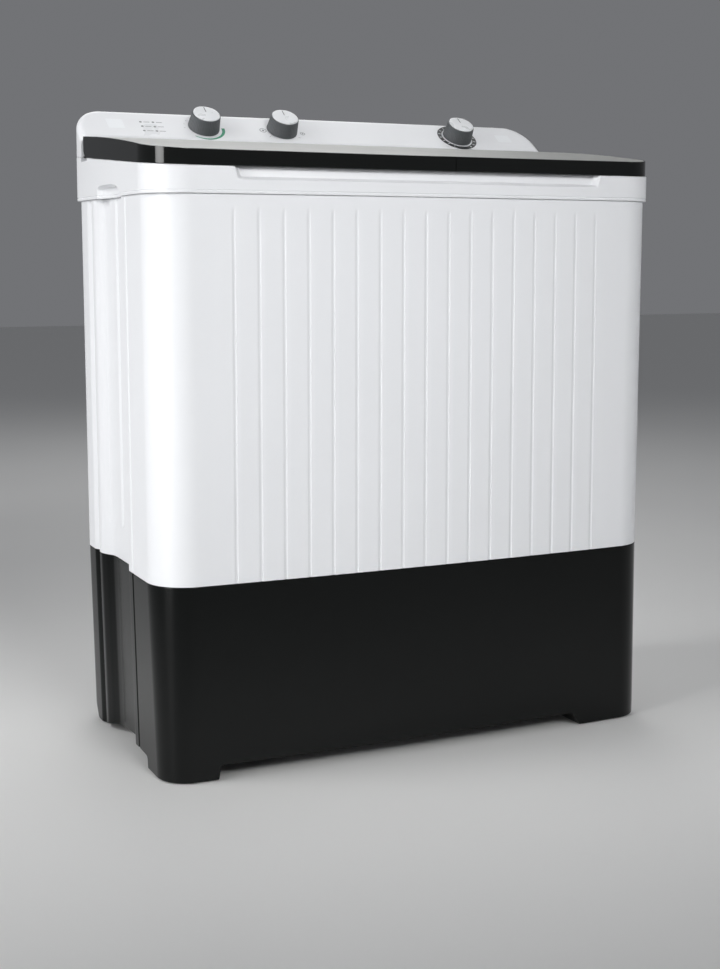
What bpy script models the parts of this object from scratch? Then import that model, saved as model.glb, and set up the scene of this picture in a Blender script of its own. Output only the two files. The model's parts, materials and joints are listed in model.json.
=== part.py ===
"""Twin tub washing machine: a white ribbed cabinet on a dark base, with a wash tub on the left, a spin
dryer on the right, two hinged lids and a control console along the back.

Metres, +Z up, -Y is the front. X = 0 is the machine's middle and Z = 0 the floor. Depths are measured
back from the plane of the front panel's corners, and place() turns them into Y.
"""

import math

import bmesh
import bpy
from mathutils import Matrix, Vector

# ------------------------------------------------------------------ driving dimensions
FRONT = -0.2085              # Y of the plane that depths are measured from
GAP = 0.0004                 # clearance between pieces that touch
WALL = 0.003                 # moulded walls

BOW = 0.008                  # how far the front panel bulges at its middle
FRONT_CORNER = 0.060         # plan radii of the corners
REAR_CORNER = 0.050
FOOT_CORNER = 0.046          # the base's front corners narrow to this at the floor

FOOT_H = 0.0226
PAD_TOP = 0.0012             # rubber pads under the base's feet
FOOT_TAPER = 0.012           # the rear feet lean in by this much at the floor
JOINT_Z = 0.2870             # line between the base and the cabinet
DECK_Z = 0.8395              # lower edge of the deck
BASE_HALF = (0.4095, 0.4155)     # half widths of the base, bottom and top
CABINET_HALF = (0.4155, 0.4181)  # half widths of the cabinet, bottom and top
BODY_FRONT = 0.0015
BODY_REAR = 0.4175
DECK_HALF = 0.422
DECK_FRONT = -0.0015
DECK_REAR = 0.4265

RIB_COUNT = 17
RIB_PITCH = 0.0375
RIB_HALF = 0.0024
RIB_DEPTH = 0.0014
RIB_TOP_Z = 0.812

DECK_TOP = (0.8777, 0.080)       # height at the front plane and rise per metre of depth
DECK_UNDER = (0.8747, 0.060)
LID_TOP = (0.9005, 0.1515, -0.12)
SCOOP_HALF = 0.2975          # finger scoop under the lids' front edge
SCOOP_Z = 0.8585
SCOOP_DEPTH = 0.012

LID_REAR = 0.346
LID_SEAM = 0.047             # X of the line between the two lids
LID_INSET = 0.0012
BAND = 0.0026                # thickness of the black band
HINGE = (0.328, 0.926)       # lid hinge axis: depth and height
CHANNEL = (0.322, 0.357, 0.8995)  # trough behind the lids: depths and floor height

CONSOLE_FRONT = 0.3575
CONSOLE_SLOPE = math.radians(36.5)
CONSOLE_PEAK = (0.4223, 0.9885)   # a point of the sloping face, near its top: depth and height
CONSOLE_ROUND = 0.0125
CONSOLE_CORNER = 0.054
CONSOLE_INSET = 0.0006
KNOB_DEPTH = 0.386
KNOB_X = {"wash_timer": -0.209, "selector": -0.0710, "spin_timer": 0.2635}
KNOB_R = (0.0262, 0.0236)
KNOB_H = 0.0262
CAP_H = 0.0014

WASH_OPENING = ((-0.380, 0.020), (0.026, 0.312))
WASH_FLOOR = ((-0.358, 0.030), (0.004, 0.302))
WASH_FLOOR_Z = 0.415
PULSATOR = (-0.177, 0.166)
PULSATOR_R = 0.126
SPIN = (0.232, 0.166)
SPIN_TUB_R = 0.148
SPIN_OPENING_R = 0.122
SPIN_FLOOR_Z = 0.430
BASKET_R = 0.118
BASKET_Z = (0.462, 0.868)

MOTOR = (-0.315, 0.225)
BELT_Z = 0.271
BELT_R = (0.0765, 0.0215)    # pitch radii of the pulsator pulley and the motor pulley
BELT_TUBE = 0.0035

DRAIN = (-0.075, 0.280)
OUTLET = (0.060, 0.105)      # X and height of the drain outlet
COVER_BOX = ((-0.315, 0.315), (0.315, 0.635))
COVER_HINGE = 0.306          # depth of the spin tub's inner cover hinge

# side profile of the base and cabinet: depth, and how far the surface is set in
SIDE = (
    (0.116, 0.0), (0.128, 0.0), (0.1315, 0.0022), (0.135, 0.0), (0.150, 0.0), (0.160, 0.0060),
    (0.172, 0.0120), (0.188, 0.0135), (0.2165, 0.0135), (0.2245, 0.0135), (0.2325, 0.0135),
    (0.2550, 0.0135), (0.2735, 0.0118), (0.2815, 0.0085), (0.2920, 0.0035), (0.304, 0.0),
    (0.312, 0.0), (0.326, 0.0060), (0.342, 0.0),
)
FLUTES = {9: 0.003, 13: 0.003}    # extra depth at two of those points, where the recess is fluted
# side profile of the deck: a short scoop over the cabinet's recess
DECK_SIDE = (
    (0.100, 0.0), (0.147, 0.0), (0.153, 0.0075), (0.163, 0.0115), (0.206, 0.0120), (0.247, 0.0115),
    (0.259, 0.0075), (0.2665, 0.0), (0.342, 0.0),
)

parts = None
cutters = None


# ------------------------------------------------------------------ helpers
def place(x, depth, z):
    return Vector((x, FRONT + depth, z))


def deck_top(depth):
    return DECK_TOP[0] + DECK_TOP[1] * depth


def deck_under(depth):
    return DECK_UNDER[0] + DECK_UNDER[1] * depth


def lid_top(depth):
    return LID_TOP[0] + LID_TOP[1] * depth + LID_TOP[2] * depth * depth


def material(name, color, roughness, metallic=0.0):
    made = bpy.data.materials.get(name)
    if made is None:
        made = bpy.data.materials.new(name)
        made.use_nodes = True
        shader = made.node_tree.nodes["Principled BSDF"]
        shader.inputs["Base Color"].default_value = (*color, 1.0)
        shader.inputs["Roughness"].default_value = roughness
        shader.inputs["Metallic"].default_value = metallic
    return made


def white():
    return material("white_gloss", (0.80, 0.81, 0.83), 0.25)


def charcoal():
    return material("charcoal_satin", (0.012, 0.013, 0.013), 0.4)


def black():
    return material("black_gloss", (0.006, 0.007, 0.006), 0.15)


def lid_grey():
    return material("lid_grey", (0.42, 0.43, 0.40), 0.4)


def knob_grey():
    return material("knob_grey", (0.13, 0.135, 0.14), 0.45)


def cap_silver():
    return material("cap_silver", (0.66, 0.67, 0.68), 0.35)


def tub_blue():
    return material("tub_white", (0.72, 0.76, 0.80), 0.35)


def steel():
    return material("steel", (0.55, 0.56, 0.57), 0.3, 1.0)


def dark_steel():
    return material("motor_steel", (0.12, 0.12, 0.13), 0.5, 1.0)


def rubber():
    return material("rubber", (0.02, 0.02, 0.02), 0.8)


def hose_grey():
    return material("hose_grey", (0.30, 0.31, 0.32), 0.6)


def link(name, mesh, finish, cutter=False):
    made = bpy.data.objects.new(name, mesh)
    if cutter:
        cutters.objects.link(made)
        made.hide_render = True
        made.display_type = "WIRE"
    else:
        parts.objects.link(made)
        mesh.materials.append(finish)
    return made


def finish_mesh(name, bm):
    bm.normal_update()
    bmesh.ops.recalc_face_normals(bm, faces=bm.faces)
    mesh = bpy.data.meshes.new(name)
    bm.to_mesh(mesh)
    bm.free()
    return mesh


def box(name, low, high, finish=None):
    """An upright box between two corners given as x, depth, height."""
    a = place(*low)
    b = place(*high)
    bm = bmesh.new()
    bmesh.ops.create_cube(bm, size=1.0)
    bmesh.ops.scale(bm, vec=b - a, verts=bm.verts)
    bmesh.ops.translate(bm, vec=(a + b) / 2, verts=bm.verts)
    return link(name, finish_mesh(name, bm), finish, cutter=finish is None)


def cylinder(name, start, end, radius, finish=None, segments=24, radius_end=None):
    """A cylinder or cone between two points."""
    axis = end - start
    bm = bmesh.new()
    bmesh.ops.create_cone(
        bm, cap_ends=True, segments=segments, radius1=radius,
        radius2=radius if radius_end is None else radius_end, depth=axis.length,
    )
    turn = axis.to_track_quat("Z", "Y").to_matrix().to_4x4()
    bm.transform(Matrix.Translation((start + end) / 2) @ turn)
    return link(name, finish_mesh(name, bm), finish, cutter=finish is None)


def lathe(name, profile, centre, finish=None, steps=24, axis="Z", closed=True):
    """A turned piece: profile is radius and height pairs, from the top down its outer side."""
    bm = bmesh.new()
    verts = [bm.verts.new((radius, 0.0, height)) for radius, height in profile]
    for first, second in zip(verts, verts[1:]):
        bm.edges.new((first, second))
    if closed:
        bm.edges.new((verts[-1], verts[0]))
    mesh = bpy.data.meshes.new(name)
    bm.to_mesh(mesh)
    bm.free()
    made = link(name, mesh, finish, cutter=finish is None)
    screw = made.modifiers.new("turn", "SCREW")
    screw.steps = steps
    screw.render_steps = steps
    screw.use_merge_vertices = True
    screw.merge_threshold = 0.00001
    made.location = centre
    if axis == "Y":
        made.rotation_euler = (math.radians(-90), 0, 0)
    if axis == "FACE":
        made.rotation_euler = (CONSOLE_SLOPE, 0, 0)
    return made


def prism(name, outline, low, high, finish=None, along="Z"):
    """A flat outline of x and depth pairs raised in Z, or of depth and height pairs run along X."""
    curve = bpy.data.curves.new(name, "CURVE")
    curve.dimensions = "2D"
    curve.fill_mode = "BOTH"
    curve.extrude = (high - low) / 2
    spline = curve.splines.new("POLY")
    spline.points.add(len(outline) - 1)
    for point, (a, b) in zip(spline.points, outline):
        point.co = (a, b, 0.0, 1.0)
    spline.use_cyclic_u = True
    if along == "Z":
        turn = Matrix.Translation(Vector((0, FRONT, (low + high) / 2)))
    else:
        turn = Matrix(((0, 0, 1, (low + high) / 2), (1, 0, 0, FRONT), (0, 1, 0, 0), (0, 0, 0, 1)))
    return meshed(name, curve, turn, finish)


def tube(name, route, radius, finish, cyclic=False, sides=2):
    """A round tube along a list of points."""
    curve = bpy.data.curves.new(name, "CURVE")
    curve.dimensions = "3D"
    curve.bevel_depth = radius
    curve.bevel_resolution = sides
    curve.use_fill_caps = not cyclic
    spline = curve.splines.new("POLY")
    spline.points.add(len(route) - 1)
    for point, spot in zip(spline.points, route):
        point.co = (*spot, 1.0)
    spline.use_cyclic_u = cyclic
    return meshed(name, curve, Matrix.Identity(4), finish)


def meshed(name, curve, matrix, finish):
    """The curve's solid as a mesh object, its caps welded on."""
    guide = bpy.data.objects.new(name + "_curve", curve)
    cutters.objects.link(guide)
    guide.matrix_world = matrix
    graph = bpy.context.evaluated_depsgraph_get()
    mesh = bpy.data.meshes.new_from_object(guide.evaluated_get(graph))
    mesh.materials.clear()
    mesh.transform(matrix)
    bpy.data.objects.remove(guide, do_unlink=True)
    bm = bmesh.new()
    bm.from_mesh(mesh)
    bmesh.ops.remove_doubles(bm, verts=bm.verts, dist=0.00001)
    bmesh.ops.recalc_face_normals(bm, faces=bm.faces)
    bm.to_mesh(mesh)
    bm.free()
    mesh.name = name
    return link(name, mesh, finish, cutter=finish is None)


def loft(name, sections, finish=None, capped=True):
    """A skin through sections of equal length, closed by caps or by joining the last to the first."""
    bm = bmesh.new()
    rings = [[bm.verts.new(point) for point in section] for section in sections]
    count = len(rings[0])
    pairs = list(zip(rings, rings[1:]))
    if not capped:
        pairs.append((rings[-1], rings[0]))
    for lower, upper in pairs:
        for i in range(count):
            j = (i + 1) % count
            bm.faces.new((lower[i], lower[j], upper[j], upper[i]))
    if capped:
        bm.faces.new(list(reversed(rings[0])))
        bm.faces.new(rings[-1])
    return link(name, finish_mesh(name, bm), finish, cutter=finish is None)


def boolean(target, tool, operation):
    change = target.modifiers.new(operation.lower(), "BOOLEAN")
    change.operation = operation
    change.solver = "EXACT"
    change.object = tool


def cut(target, tool):
    boolean(target, tool, "DIFFERENCE")


def join(target, tool):
    boolean(target, tool, "UNION")


def keep(target, tool):
    boolean(target, tool, "INTERSECT")


def hang(pieces, spot, name):
    """Parent pieces to an empty on their joint's axis."""
    pivot = bpy.data.objects.new(name, None)
    pivot.location = spot
    pivot.empty_display_size = 0.03
    parts.objects.link(pivot)
    for piece in pieces:
        piece.parent = pivot
        piece.location = -spot


def smooth(*pieces):
    for piece in pieces:
        piece.data.shade_smooth()
        piece.data.set_sharp_from_angle(angle=math.radians(35))


def round_edges(piece, width, segments=2):
    bevel = piece.modifiers.new("round", "BEVEL")
    bevel.width = width
    bevel.segments = segments
    bevel.limit_method = "ANGLE"
    bevel.angle_limit = math.radians(40)


def arc(x, depth, radius, start, end, steps):
    """Points of an arc in plan, its angles in degrees."""
    points = []
    for i in range(steps + 1):
        angle = math.radians(start + (end - start) * i / steps)
        points.append((x + radius * math.cos(angle), depth + radius * math.sin(angle)))
    return points


def bowed(x, half):
    """How far the front bulges at x, on a front whose corners start at half less the corner radius."""
    reach = half - FRONT_CORNER
    return BOW * (1.0 - (x / reach) ** 2)


def plan(half, front, rear, front_marks, side_marks, inset=0.0, corner=FRONT_CORNER):
    """The machine's outline in plan, moved in by inset; the marks' second values push points in."""
    points = []
    for x, push in front_marks:
        points.append((x, front + inset + push - bowed(x, half)))
    points += arc(half - corner, front + corner, corner - inset, -90, 0, 6)
    points += [(half - inset - push, depth) for depth, push in side_marks]
    points += arc(half - REAR_CORNER, rear - REAR_CORNER, REAR_CORNER - inset, 0, 90, 5)
    points += arc(-half + REAR_CORNER, rear - REAR_CORNER, REAR_CORNER - inset, 90, 180, 5)
    points += [(-half + inset + push, depth) for depth, push in reversed(side_marks)]
    points += arc(-half + corner, front + corner, corner - inset, 180, 270, 6)
    return points


def raised(points, z):
    """A section at height z, which is a number or a function of depth."""
    return [place(x, depth, z(depth) if callable(z) else z) for x, depth in points]


def rounded_rect(low, high, radius, steps=4):
    """A rounded rectangle in plan between two corners."""
    (x0, d0), (x1, d1) = low, high
    points = arc(x1 - radius, d0 + radius, radius, -90, 0, steps)
    points += arc(x1 - radius, d1 - radius, radius, 0, 90, steps)
    points += arc(x0 + radius, d1 - radius, radius, 90, 180, steps)
    points += arc(x0 + radius, d0 + radius, radius, 180, 270, steps)
    return points


def grown(rect, amount):
    (x0, d0), (x1, d1) = rect
    return (x0 - amount, d0 - amount), (x1 + amount, d1 + amount)


# ------------------------------------------------------------------ base, feet and cabinet
def base_marks():
    return [(0.09 * i, 0.0) for i in range(-3, 4)]


def side_marks(fluted):
    marks = []
    for i, (depth, push) in enumerate(SIDE):
        extra = FLUTES.get(i, 0.0) if fluted else 0.0
        marks.append((depth, push + extra))
    return marks


def base_section(inset, z):
    share = min((z - FOOT_H) / (JOINT_Z - FOOT_H), 1.0)
    half = BASE_HALF[0] + (BASE_HALF[1] - BASE_HALF[0]) * share
    corner = FOOT_CORNER + (FRONT_CORNER - FOOT_CORNER) * max(share, 0.0)
    rear = BODY_REAR - 0.001 if z >= FOOT_H else BODY_REAR - FOOT_TAPER
    points = plan(half, BODY_FRONT, rear, base_marks(), side_marks(False), inset, corner)
    return raised(points, z)


def between_feet():
    """Cutters for the openings between the base's feet: across the whole middle, then at the sides."""
    outline = [(-0.3325, -0.01), (-0.3255, FOOT_H), (0.2700, FOOT_H), (0.2930, -0.01)]
    ends = [[place(x, depth, z) for x, z in outline] for depth in (-0.05, 0.45)]
    middle = loft("between_feet_cutter", ends)
    outline = [(0.089, -0.01), (0.092, 0.0200), (0.128, 0.0215), (0.205, 0.0195), (0.270, 0.0150),
               (0.300, 0.0100), (0.325, 0.0030), (0.327, -0.01)]
    return middle, prism("side_arch_cutter", outline, -0.45, 0.45, along="X")


def base_housing():
    top = JOINT_Z - GAP
    lip = 0.0036
    sections = [
        base_section(0.0, PAD_TOP + GAP),
        base_section(0.0, FOOT_H),
        base_section(0.0, top),
        base_section(lip, top),
        base_section(lip, top + 0.008),
        base_section(2 * WALL, top + 0.008),
        base_section(2 * WALL, top - 0.006),
        base_section(WALL, top - 0.012),
        base_section(WALL, FOOT_H + 0.004),
    ]
    base = loft("base_housing", sections, charcoal())
    for tool in between_feet():
        cut(base, tool)
    cut(base, box("base_vent_cutter", (-0.28, 0.09, 0.0), (-0.08, 0.26, 0.05)))
    cut(base, cylinder("outlet_hole_cutter", place(OUTLET[0], 0.38, OUTLET[1]),
                       place(OUTLET[0], 0.46, OUTLET[1]), 0.0230))
    cut(base, cylinder("gland_hole_cutter", place(-0.26, 0.38, 0.12), place(-0.26, 0.46, 0.12), 0.0085))
    return base


def foot_pads():
    """Rubber pads under the four feet."""
    spots = {
        "foot_pad_front_left": ((-0.400, 0.020), (-0.340, 0.082)),
        "foot_pad_front_right": ((0.302, 0.020), (0.400, 0.082)),
        "foot_pad_rear_left": ((-0.394, 0.336), (-0.340, 0.388)),
        "foot_pad_rear_right": ((0.340, 0.336), (0.394, 0.388)),
    }
    for name, (low, high) in spots.items():
        prism(name, rounded_rect(low, high, 0.012), 0.0, PAD_TOP, rubber())


def cabinet_marks(depth):
    marks = []
    for k in range(RIB_COUNT):
        x = (k - (RIB_COUNT - 1) / 2) * RIB_PITCH
        marks += [(x - RIB_HALF, 0.0), (x, depth), (x + RIB_HALF, 0.0)]
    return marks


def cabinet_section(z, ribs, fluted, inset=0.0):
    share = (z - JOINT_Z) / (DECK_Z - JOINT_Z)
    half = CABINET_HALF[0] + (CABINET_HALF[1] - CABINET_HALF[0]) * share
    points = plan(half, BODY_FRONT, BODY_REAR, cabinet_marks(ribs), side_marks(fluted), inset)
    return raised(points, z)


def cover_screws():
    """X and Z of the rear cover's screws."""
    (x0, x1), (z0, z1) = COVER_BOX
    edge = 0.007
    return [(x, z) for x in (x0 + edge, x1 - edge) for z in (z0 + edge, z1 - edge)]


def cabinet():
    top = DECK_Z - GAP
    sections = [
        cabinet_section(JOINT_Z, RIB_DEPTH, False),
        cabinet_section(0.335, RIB_DEPTH, False),
        cabinet_section(0.350, RIB_DEPTH, True),
        cabinet_section(RIB_TOP_Z, RIB_DEPTH, True),
        cabinet_section(RIB_TOP_Z + 0.008, 0.0, True),
        cabinet_section(top, 0.0, True),
        cabinet_section(top, 0.0, False, WALL),
        cabinet_section(JOINT_Z, 0.0, False, WALL),
    ]
    shell = loft("cabinet", sections, white(), capped=False)
    (x0, x1), (z0, z1) = COVER_BOX
    rim = 0.015
    cut(shell, box("rear_window_cutter", (x0 + rim, 0.39, z0 + rim), (x1 - rim, 0.44, z1 - rim)))
    for x, z in cover_screws():
        cut(shell, cylinder("screw_hole_cutter", place(x, 0.40, z), place(x, 0.44, z), 0.0022, segments=10))
    for x in (PULSATOR[0], SPIN[0]):
        cut(shell, cylinder("inlet_hole_cutter", place(x, 0.39, 0.795), place(x, 0.45, 0.795), 0.0135))
    return shell


def back_cover():
    (x0, x1), (z0, z1) = COVER_BOX
    low = BODY_REAR + GAP
    high = low + 0.002
    cover = box("back_cover", (x0, low, z0), (x1, high, z1), charcoal())
    for x, z in cover_screws():
        cut(cover, cylinder("cover_hole_cutter", place(x, 0.40, z), place(x, 0.44, z), 0.0022, segments=10))
    for i in range(6):
        z = 0.40 + 0.014 * i
        cut(cover, box("cover_vent_cutter", (-0.09, 0.40, z), (0.09, 0.44, z + 0.005)))
    for i, (x, z) in enumerate(cover_screws()):
        head = high + GAP
        profile = [(0.0, 0.002), (0.0030, 0.0018), (0.0042, 0.0), (0.0018, 0.0), (0.0018, -0.010), (0.0, -0.011)]
        lathe(f"back_screw_{i + 1}", profile, place(x, head, z), steel(), steps=10, axis="Y", closed=False)


# ------------------------------------------------------------------ deck and tubs
def deck_section(inset, z, scoop=0.0, side=1.0):
    stops = [-0.335, -SCOOP_HALF - 0.005, -SCOOP_HALF + 0.005, -0.20, -0.10, 0.0]
    stops += [-x for x in reversed(stops[:-1])]
    front = [(x, scoop if abs(x) < SCOOP_HALF else 0.0) for x in stops]
    sides = [(depth, push * side) for depth, push in DECK_SIDE]
    return raised(plan(DECK_HALF, DECK_FRONT, DECK_REAR, front, sides, inset), z)


def hinge_spans():
    """X ranges of the deck's hinge posts and of the lids' lugs beside them, for each lid."""
    outer = DECK_HALF - LID_INSET - BAND - GAP - WALL - 0.002
    inner = LID_SEAM + 0.0055
    post = 0.008
    lug = 0.005
    step = 0.0009
    spans = {"wash": [], "spin": []}
    for name, side, start in (("wash", 1, -outer), ("wash", -1, 2 * LID_SEAM - inner),
                              ("spin", 1, inner), ("spin", -1, outer)):
        post_end = start + side * post
        lug_start = post_end + side * step
        lug_end = lug_start + side * lug
        spans[name].append((tuple(sorted((start, post_end))), tuple(sorted((lug_start, lug_end)))))
    return spans


def post_outline():
    """Upright post with a round top about the hinge axis: depth and height."""
    depth, z = HINGE
    radius = 0.006
    top = [(depth + radius * math.cos(math.radians(a)), z + radius * math.sin(math.radians(a)))
           for a in range(0, 181, 30)]
    return [(depth + radius, CHANNEL[2] - 0.002)] + top + [(depth - radius, CHANNEL[2] - 0.002)]


def top_deck():
    ledge = 0.0135
    sections = [
        deck_section(WALL, deck_under, SCOOP_DEPTH, 0.0),
        deck_section(WALL, SCOOP_Z + 0.0025, 0.010, 0.0),
        deck_section(WALL, SCOOP_Z - 0.0035, 0.0, 0.0),
        deck_section(WALL, 0.851, 0.0, 1.0),
        deck_section(WALL, DECK_Z + WALL),
        deck_section(ledge, DECK_Z + WALL),
        deck_section(ledge, DECK_Z),
        deck_section(0.0, DECK_Z),
        deck_section(0.0, 0.850, 0.0, 1.0),
        deck_section(0.0, SCOOP_Z, 0.0, 0.35),
        deck_section(0.0, SCOOP_Z + 0.0055, 0.010, 0.0),
        deck_section(0.0, deck_top, SCOOP_DEPTH, 0.0),
    ]
    deck = loft("top_deck", sections, white())
    wash = prism("wash_opening_cutter", rounded_rect(*WASH_OPENING, 0.045), 0.84, 0.95)
    cut(deck, wash)
    spin = cylinder("spin_opening_cutter", place(*SPIN, 0.84), place(*SPIN, 0.95), SPIN_OPENING_R, segments=40)
    cut(deck, spin)
    cut(deck, box("channel_cutter", (-0.43, CHANNEL[0], CHANNEL[2]), (0.43, CHANNEL[1], 0.95)))
    for spans in hinge_spans().values():
        for (x0, x1), _ in spans:
            join(deck, prism("hinge_post_tool", post_outline(), x0, x1, along="X"))
    for x in (0.107, 0.349):
        join(deck, box("cover_post_tool", (x, COVER_HINGE - 0.005, 0.897), (x + 0.006, COVER_HINGE + 0.005,
                                                                            cover_axis_z() + 0.005)))
    depth, z = HINGE
    cut(deck, cylinder("hinge_bore_cutter", place(-0.418, depth, z), place(0.418, depth, z), 0.0028, segments=12))
    cut(deck, cylinder("cover_bore_cutter", place(0.100, COVER_HINGE, cover_axis_z()),
                       place(0.360, COVER_HINGE, cover_axis_z()), 0.0023, segments=12))
    return deck


def hinge_pins():
    depth, z = HINGE
    for name, spans in hinge_spans().items():
        for end, (post, lug) in zip(("left", "right"), spans):
            x0 = min(post[0], lug[0]) + 0.0005
            x1 = max(post[1], lug[1]) - 0.0005
            cylinder(f"{name}_hinge_pin_{end}", place(x0, depth, z), place(x1, depth, z), 0.0025, steel(), 12)


def wash_tub():
    """The wash tub: a tapered box with round corners, hung by its rim under the deck."""
    skin = 0.0025
    wall_top = grown(WASH_OPENING, 0.002)

    def under(depth):
        return deck_under(depth) - GAP

    def rim(depth):
        return under(depth) - 0.003

    sections = [
        raised(rounded_rect(*WASH_FLOOR, 0.046), WASH_FLOOR_Z),
        raised(rounded_rect(*grown(WASH_FLOOR, 0.004), 0.050), WASH_FLOOR_Z + 0.012),
        raised(rounded_rect(*wall_top, 0.047), under),
        raised(rounded_rect(*grown(wall_top, 0.0055), 0.0525), under),
        raised(rounded_rect(*grown(wall_top, 0.0055), 0.0525), rim),
        raised(rounded_rect(*grown(wall_top, skin), 0.0495), rim),
        raised(rounded_rect(*grown(WASH_FLOOR, 0.004 + skin), 0.0525), WASH_FLOOR_Z + 0.012),
        raised(rounded_rect(*grown(WASH_FLOOR, skin), 0.0485), WASH_FLOOR_Z - skin),
    ]
    tub = loft("wash_tub", sections, tub_blue())
    cut(tub, cylinder("shaft_hole_cutter", place(*PULSATOR, 0.40), place(*PULSATOR, 0.43), 0.0165))
    cut(tub, cylinder("drain_hole_cutter", place(*DRAIN, 0.40), place(*DRAIN, 0.43), 0.0150))
    return tub


def spin_tub():
    """The spin tub: a turned can that catches the water, cut to the slope of the deck."""
    skin = 0.0025
    outer = SPIN_TUB_R + skin
    profile = [
        (outer + 0.004, 0.915), (outer + 0.004, 0.875), (outer, 0.869), (outer, SPIN_FLOOR_Z),
        (outer - 0.012, SPIN_FLOOR_Z - skin), (0.030, SPIN_FLOOR_Z - skin), (0.030, SPIN_FLOOR_Z),
        (SPIN_TUB_R - 0.011, SPIN_FLOOR_Z), (SPIN_TUB_R, SPIN_FLOOR_Z + 0.010), (SPIN_TUB_R, 0.915),
    ]
    tub = lathe("spin_tub", profile, place(*SPIN, 0.0), tub_blue(), steps=28)
    slope = [(-0.02, deck_under(-0.02) - GAP), (0.36, deck_under(0.36) - GAP), (0.36, 0.97), (-0.02, 0.97)]
    cut(tub, prism("spin_rim_cutter", slope, 0.05, 0.42, along="X"))
    cut(tub, cylinder("spin_drain_cutter", place(0.150, 0.220, 0.41), place(0.150, 0.220, 0.45), 0.010, segments=16))
    return tub


def overflow_cover():
    """Half-round duct cover over the drain plug's rod, against the wash tub's rear wall."""
    outer = arc(DRAIN[0], 0.2995, 0.030, 180, 360, 10)
    inner = arc(DRAIN[0], 0.2995, 0.0275, 360, 180, 10)
    return prism("overflow_cover", outer + inner, 0.445, 0.880, tub_blue())


def drain_plug():
    """Plug over the wash tub's drain hole with its lifting rod."""
    floor = WASH_FLOOR_Z + GAP
    profile = [
        (0.0, 0.884), (0.0025, 0.883), (0.0025, floor + 0.014), (0.007, floor + 0.012), (0.0185, floor + 0.006),
        (0.0185, floor), (0.0, floor),
    ]
    return lathe("drain_plug", profile, place(*DRAIN, 0.0), rubber(), steps=14, closed=False)


def pulsator():
    """Ribbed disc on the wash tub's floor, held by its shaft."""
    base = WASH_FLOOR_Z + 0.006
    r = PULSATOR_R
    profile = [
        (0.0, base + 0.026), (0.030, base + 0.024), (0.055, base + 0.010), (r - 0.012, base + 0.007),
        (r, base + 0.012), (r, base), (0.0, base),
    ]
    disc = lathe("pulsator", profile, place(*PULSATOR, 0.0), tub_blue(), steps=28, closed=False)
    for i in range(4):
        angle = math.radians(45 + 90 * i)
        vane = [(0.020, base + 0.004), (0.020, base + 0.030), (0.060, base + 0.028),
                (r - 0.012, base + 0.014), (r - 0.006, base + 0.004)]
        tool = prism("vane_tool", vane, -0.006, 0.006, along="X")
        turn = Matrix.Rotation(angle, 4, "Z")
        lift = Matrix.Translation((0, -FRONT, 0))
        tool.matrix_world = Matrix.Translation(place(*PULSATOR, 0.0)) @ turn @ lift
        join(disc, tool)
    return disc


def spin_basket():
    """The spin dryer's drum, with a balance ring round its mouth and a cone in its floor."""
    low, high = BASKET_Z
    r = BASKET_R
    skin = 0.002
    profile = [
        (r - 0.017, high), (r - 0.004, high), (r, high - 0.004), (r, high - 0.026), (r - 0.002, high - 0.028),
        (r - 0.004, low + 0.020), (r - 0.010, low), (0.0, low), (0.0, low + 0.052), (0.018, low + 0.050),
        (0.040, low + 0.010), (0.050, low + skin), (r - 0.012, low + skin), (r - 0.006, low + 0.020),
        (r - 0.006, high - 0.028), (r - 0.017, high - 0.026),
    ]
    return lathe("spin_basket", profile, place(*SPIN, 0.0), tub_blue(), 24)


# ------------------------------------------------------------------ drives under the tubs
def pulley(radius, half):
    """Radius and height pairs of a grooved rim, from the top down, about height 0."""
    groove = radius - 0.0065
    rim = radius + 0.0035
    return [(rim, half), (rim, 0.006), (groove, 0.002), (groove, -0.002), (rim, -0.006), (rim, -half)]


def wash_drive():
    floor = WASH_FLOOR_Z - 0.0025 - GAP
    housing = [
        (0.046, floor), (0.046, floor - 0.005), (0.030, floor - 0.012), (0.026, 0.305), (0.0085, 0.305),
        (0.0085, floor),
    ]
    lathe("bearing_housing", housing, place(*PULSATOR, 0.0), dark_steel(), steps=20)
    bracket = prism("drive_bracket", rounded_rect((-0.386, 0.075), (-0.060, 0.300), 0.02, 2), 0.3750, 0.3775,
                    dark_steel())
    cut(bracket, cylinder("bracket_bore_cutter", place(*PULSATOR, 0.36), place(*PULSATOR, 0.39), 0.0310))
    cut(bracket, cylinder("bracket_drain_cutter", place(*DRAIN, 0.36), place(*DRAIN, 0.39), 0.0400))
    wheel = [(0.0, WASH_FLOOR_Z + 0.0055), (0.0080, WASH_FLOOR_Z + 0.0055), (0.0080, 0.3040),
             (0.0160, 0.3040), (0.0160, 0.278)]
    wheel += [(radius, BELT_Z + z) for radius, z in pulley(BELT_R[0], 0.007)]
    wheel += [(0.0, 0.264)]
    lathe("pulsator_drive", wheel, place(*PULSATOR, 0.0), steel(), steps=20, closed=False)
    casing = [(0.0, 0.372), (0.040, 0.372), (0.056, 0.364), (0.058, 0.300), (0.040, 0.290), (0.0, 0.290)]
    lathe("wash_motor", casing, place(*MOTOR, 0.0), dark_steel(), steps=20, closed=False)
    rotor = [(0.0, 0.2895), (0.0060, 0.2895), (0.0060, 0.2800)]
    rotor += [(radius, BELT_Z + z) for radius, z in pulley(BELT_R[1], 0.007)]
    rotor += [(0.0, 0.264)]
    lathe("motor_pulley", rotor, place(*MOTOR, 0.0), steel(), steps=14, closed=False)
    drive_belt()


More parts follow.
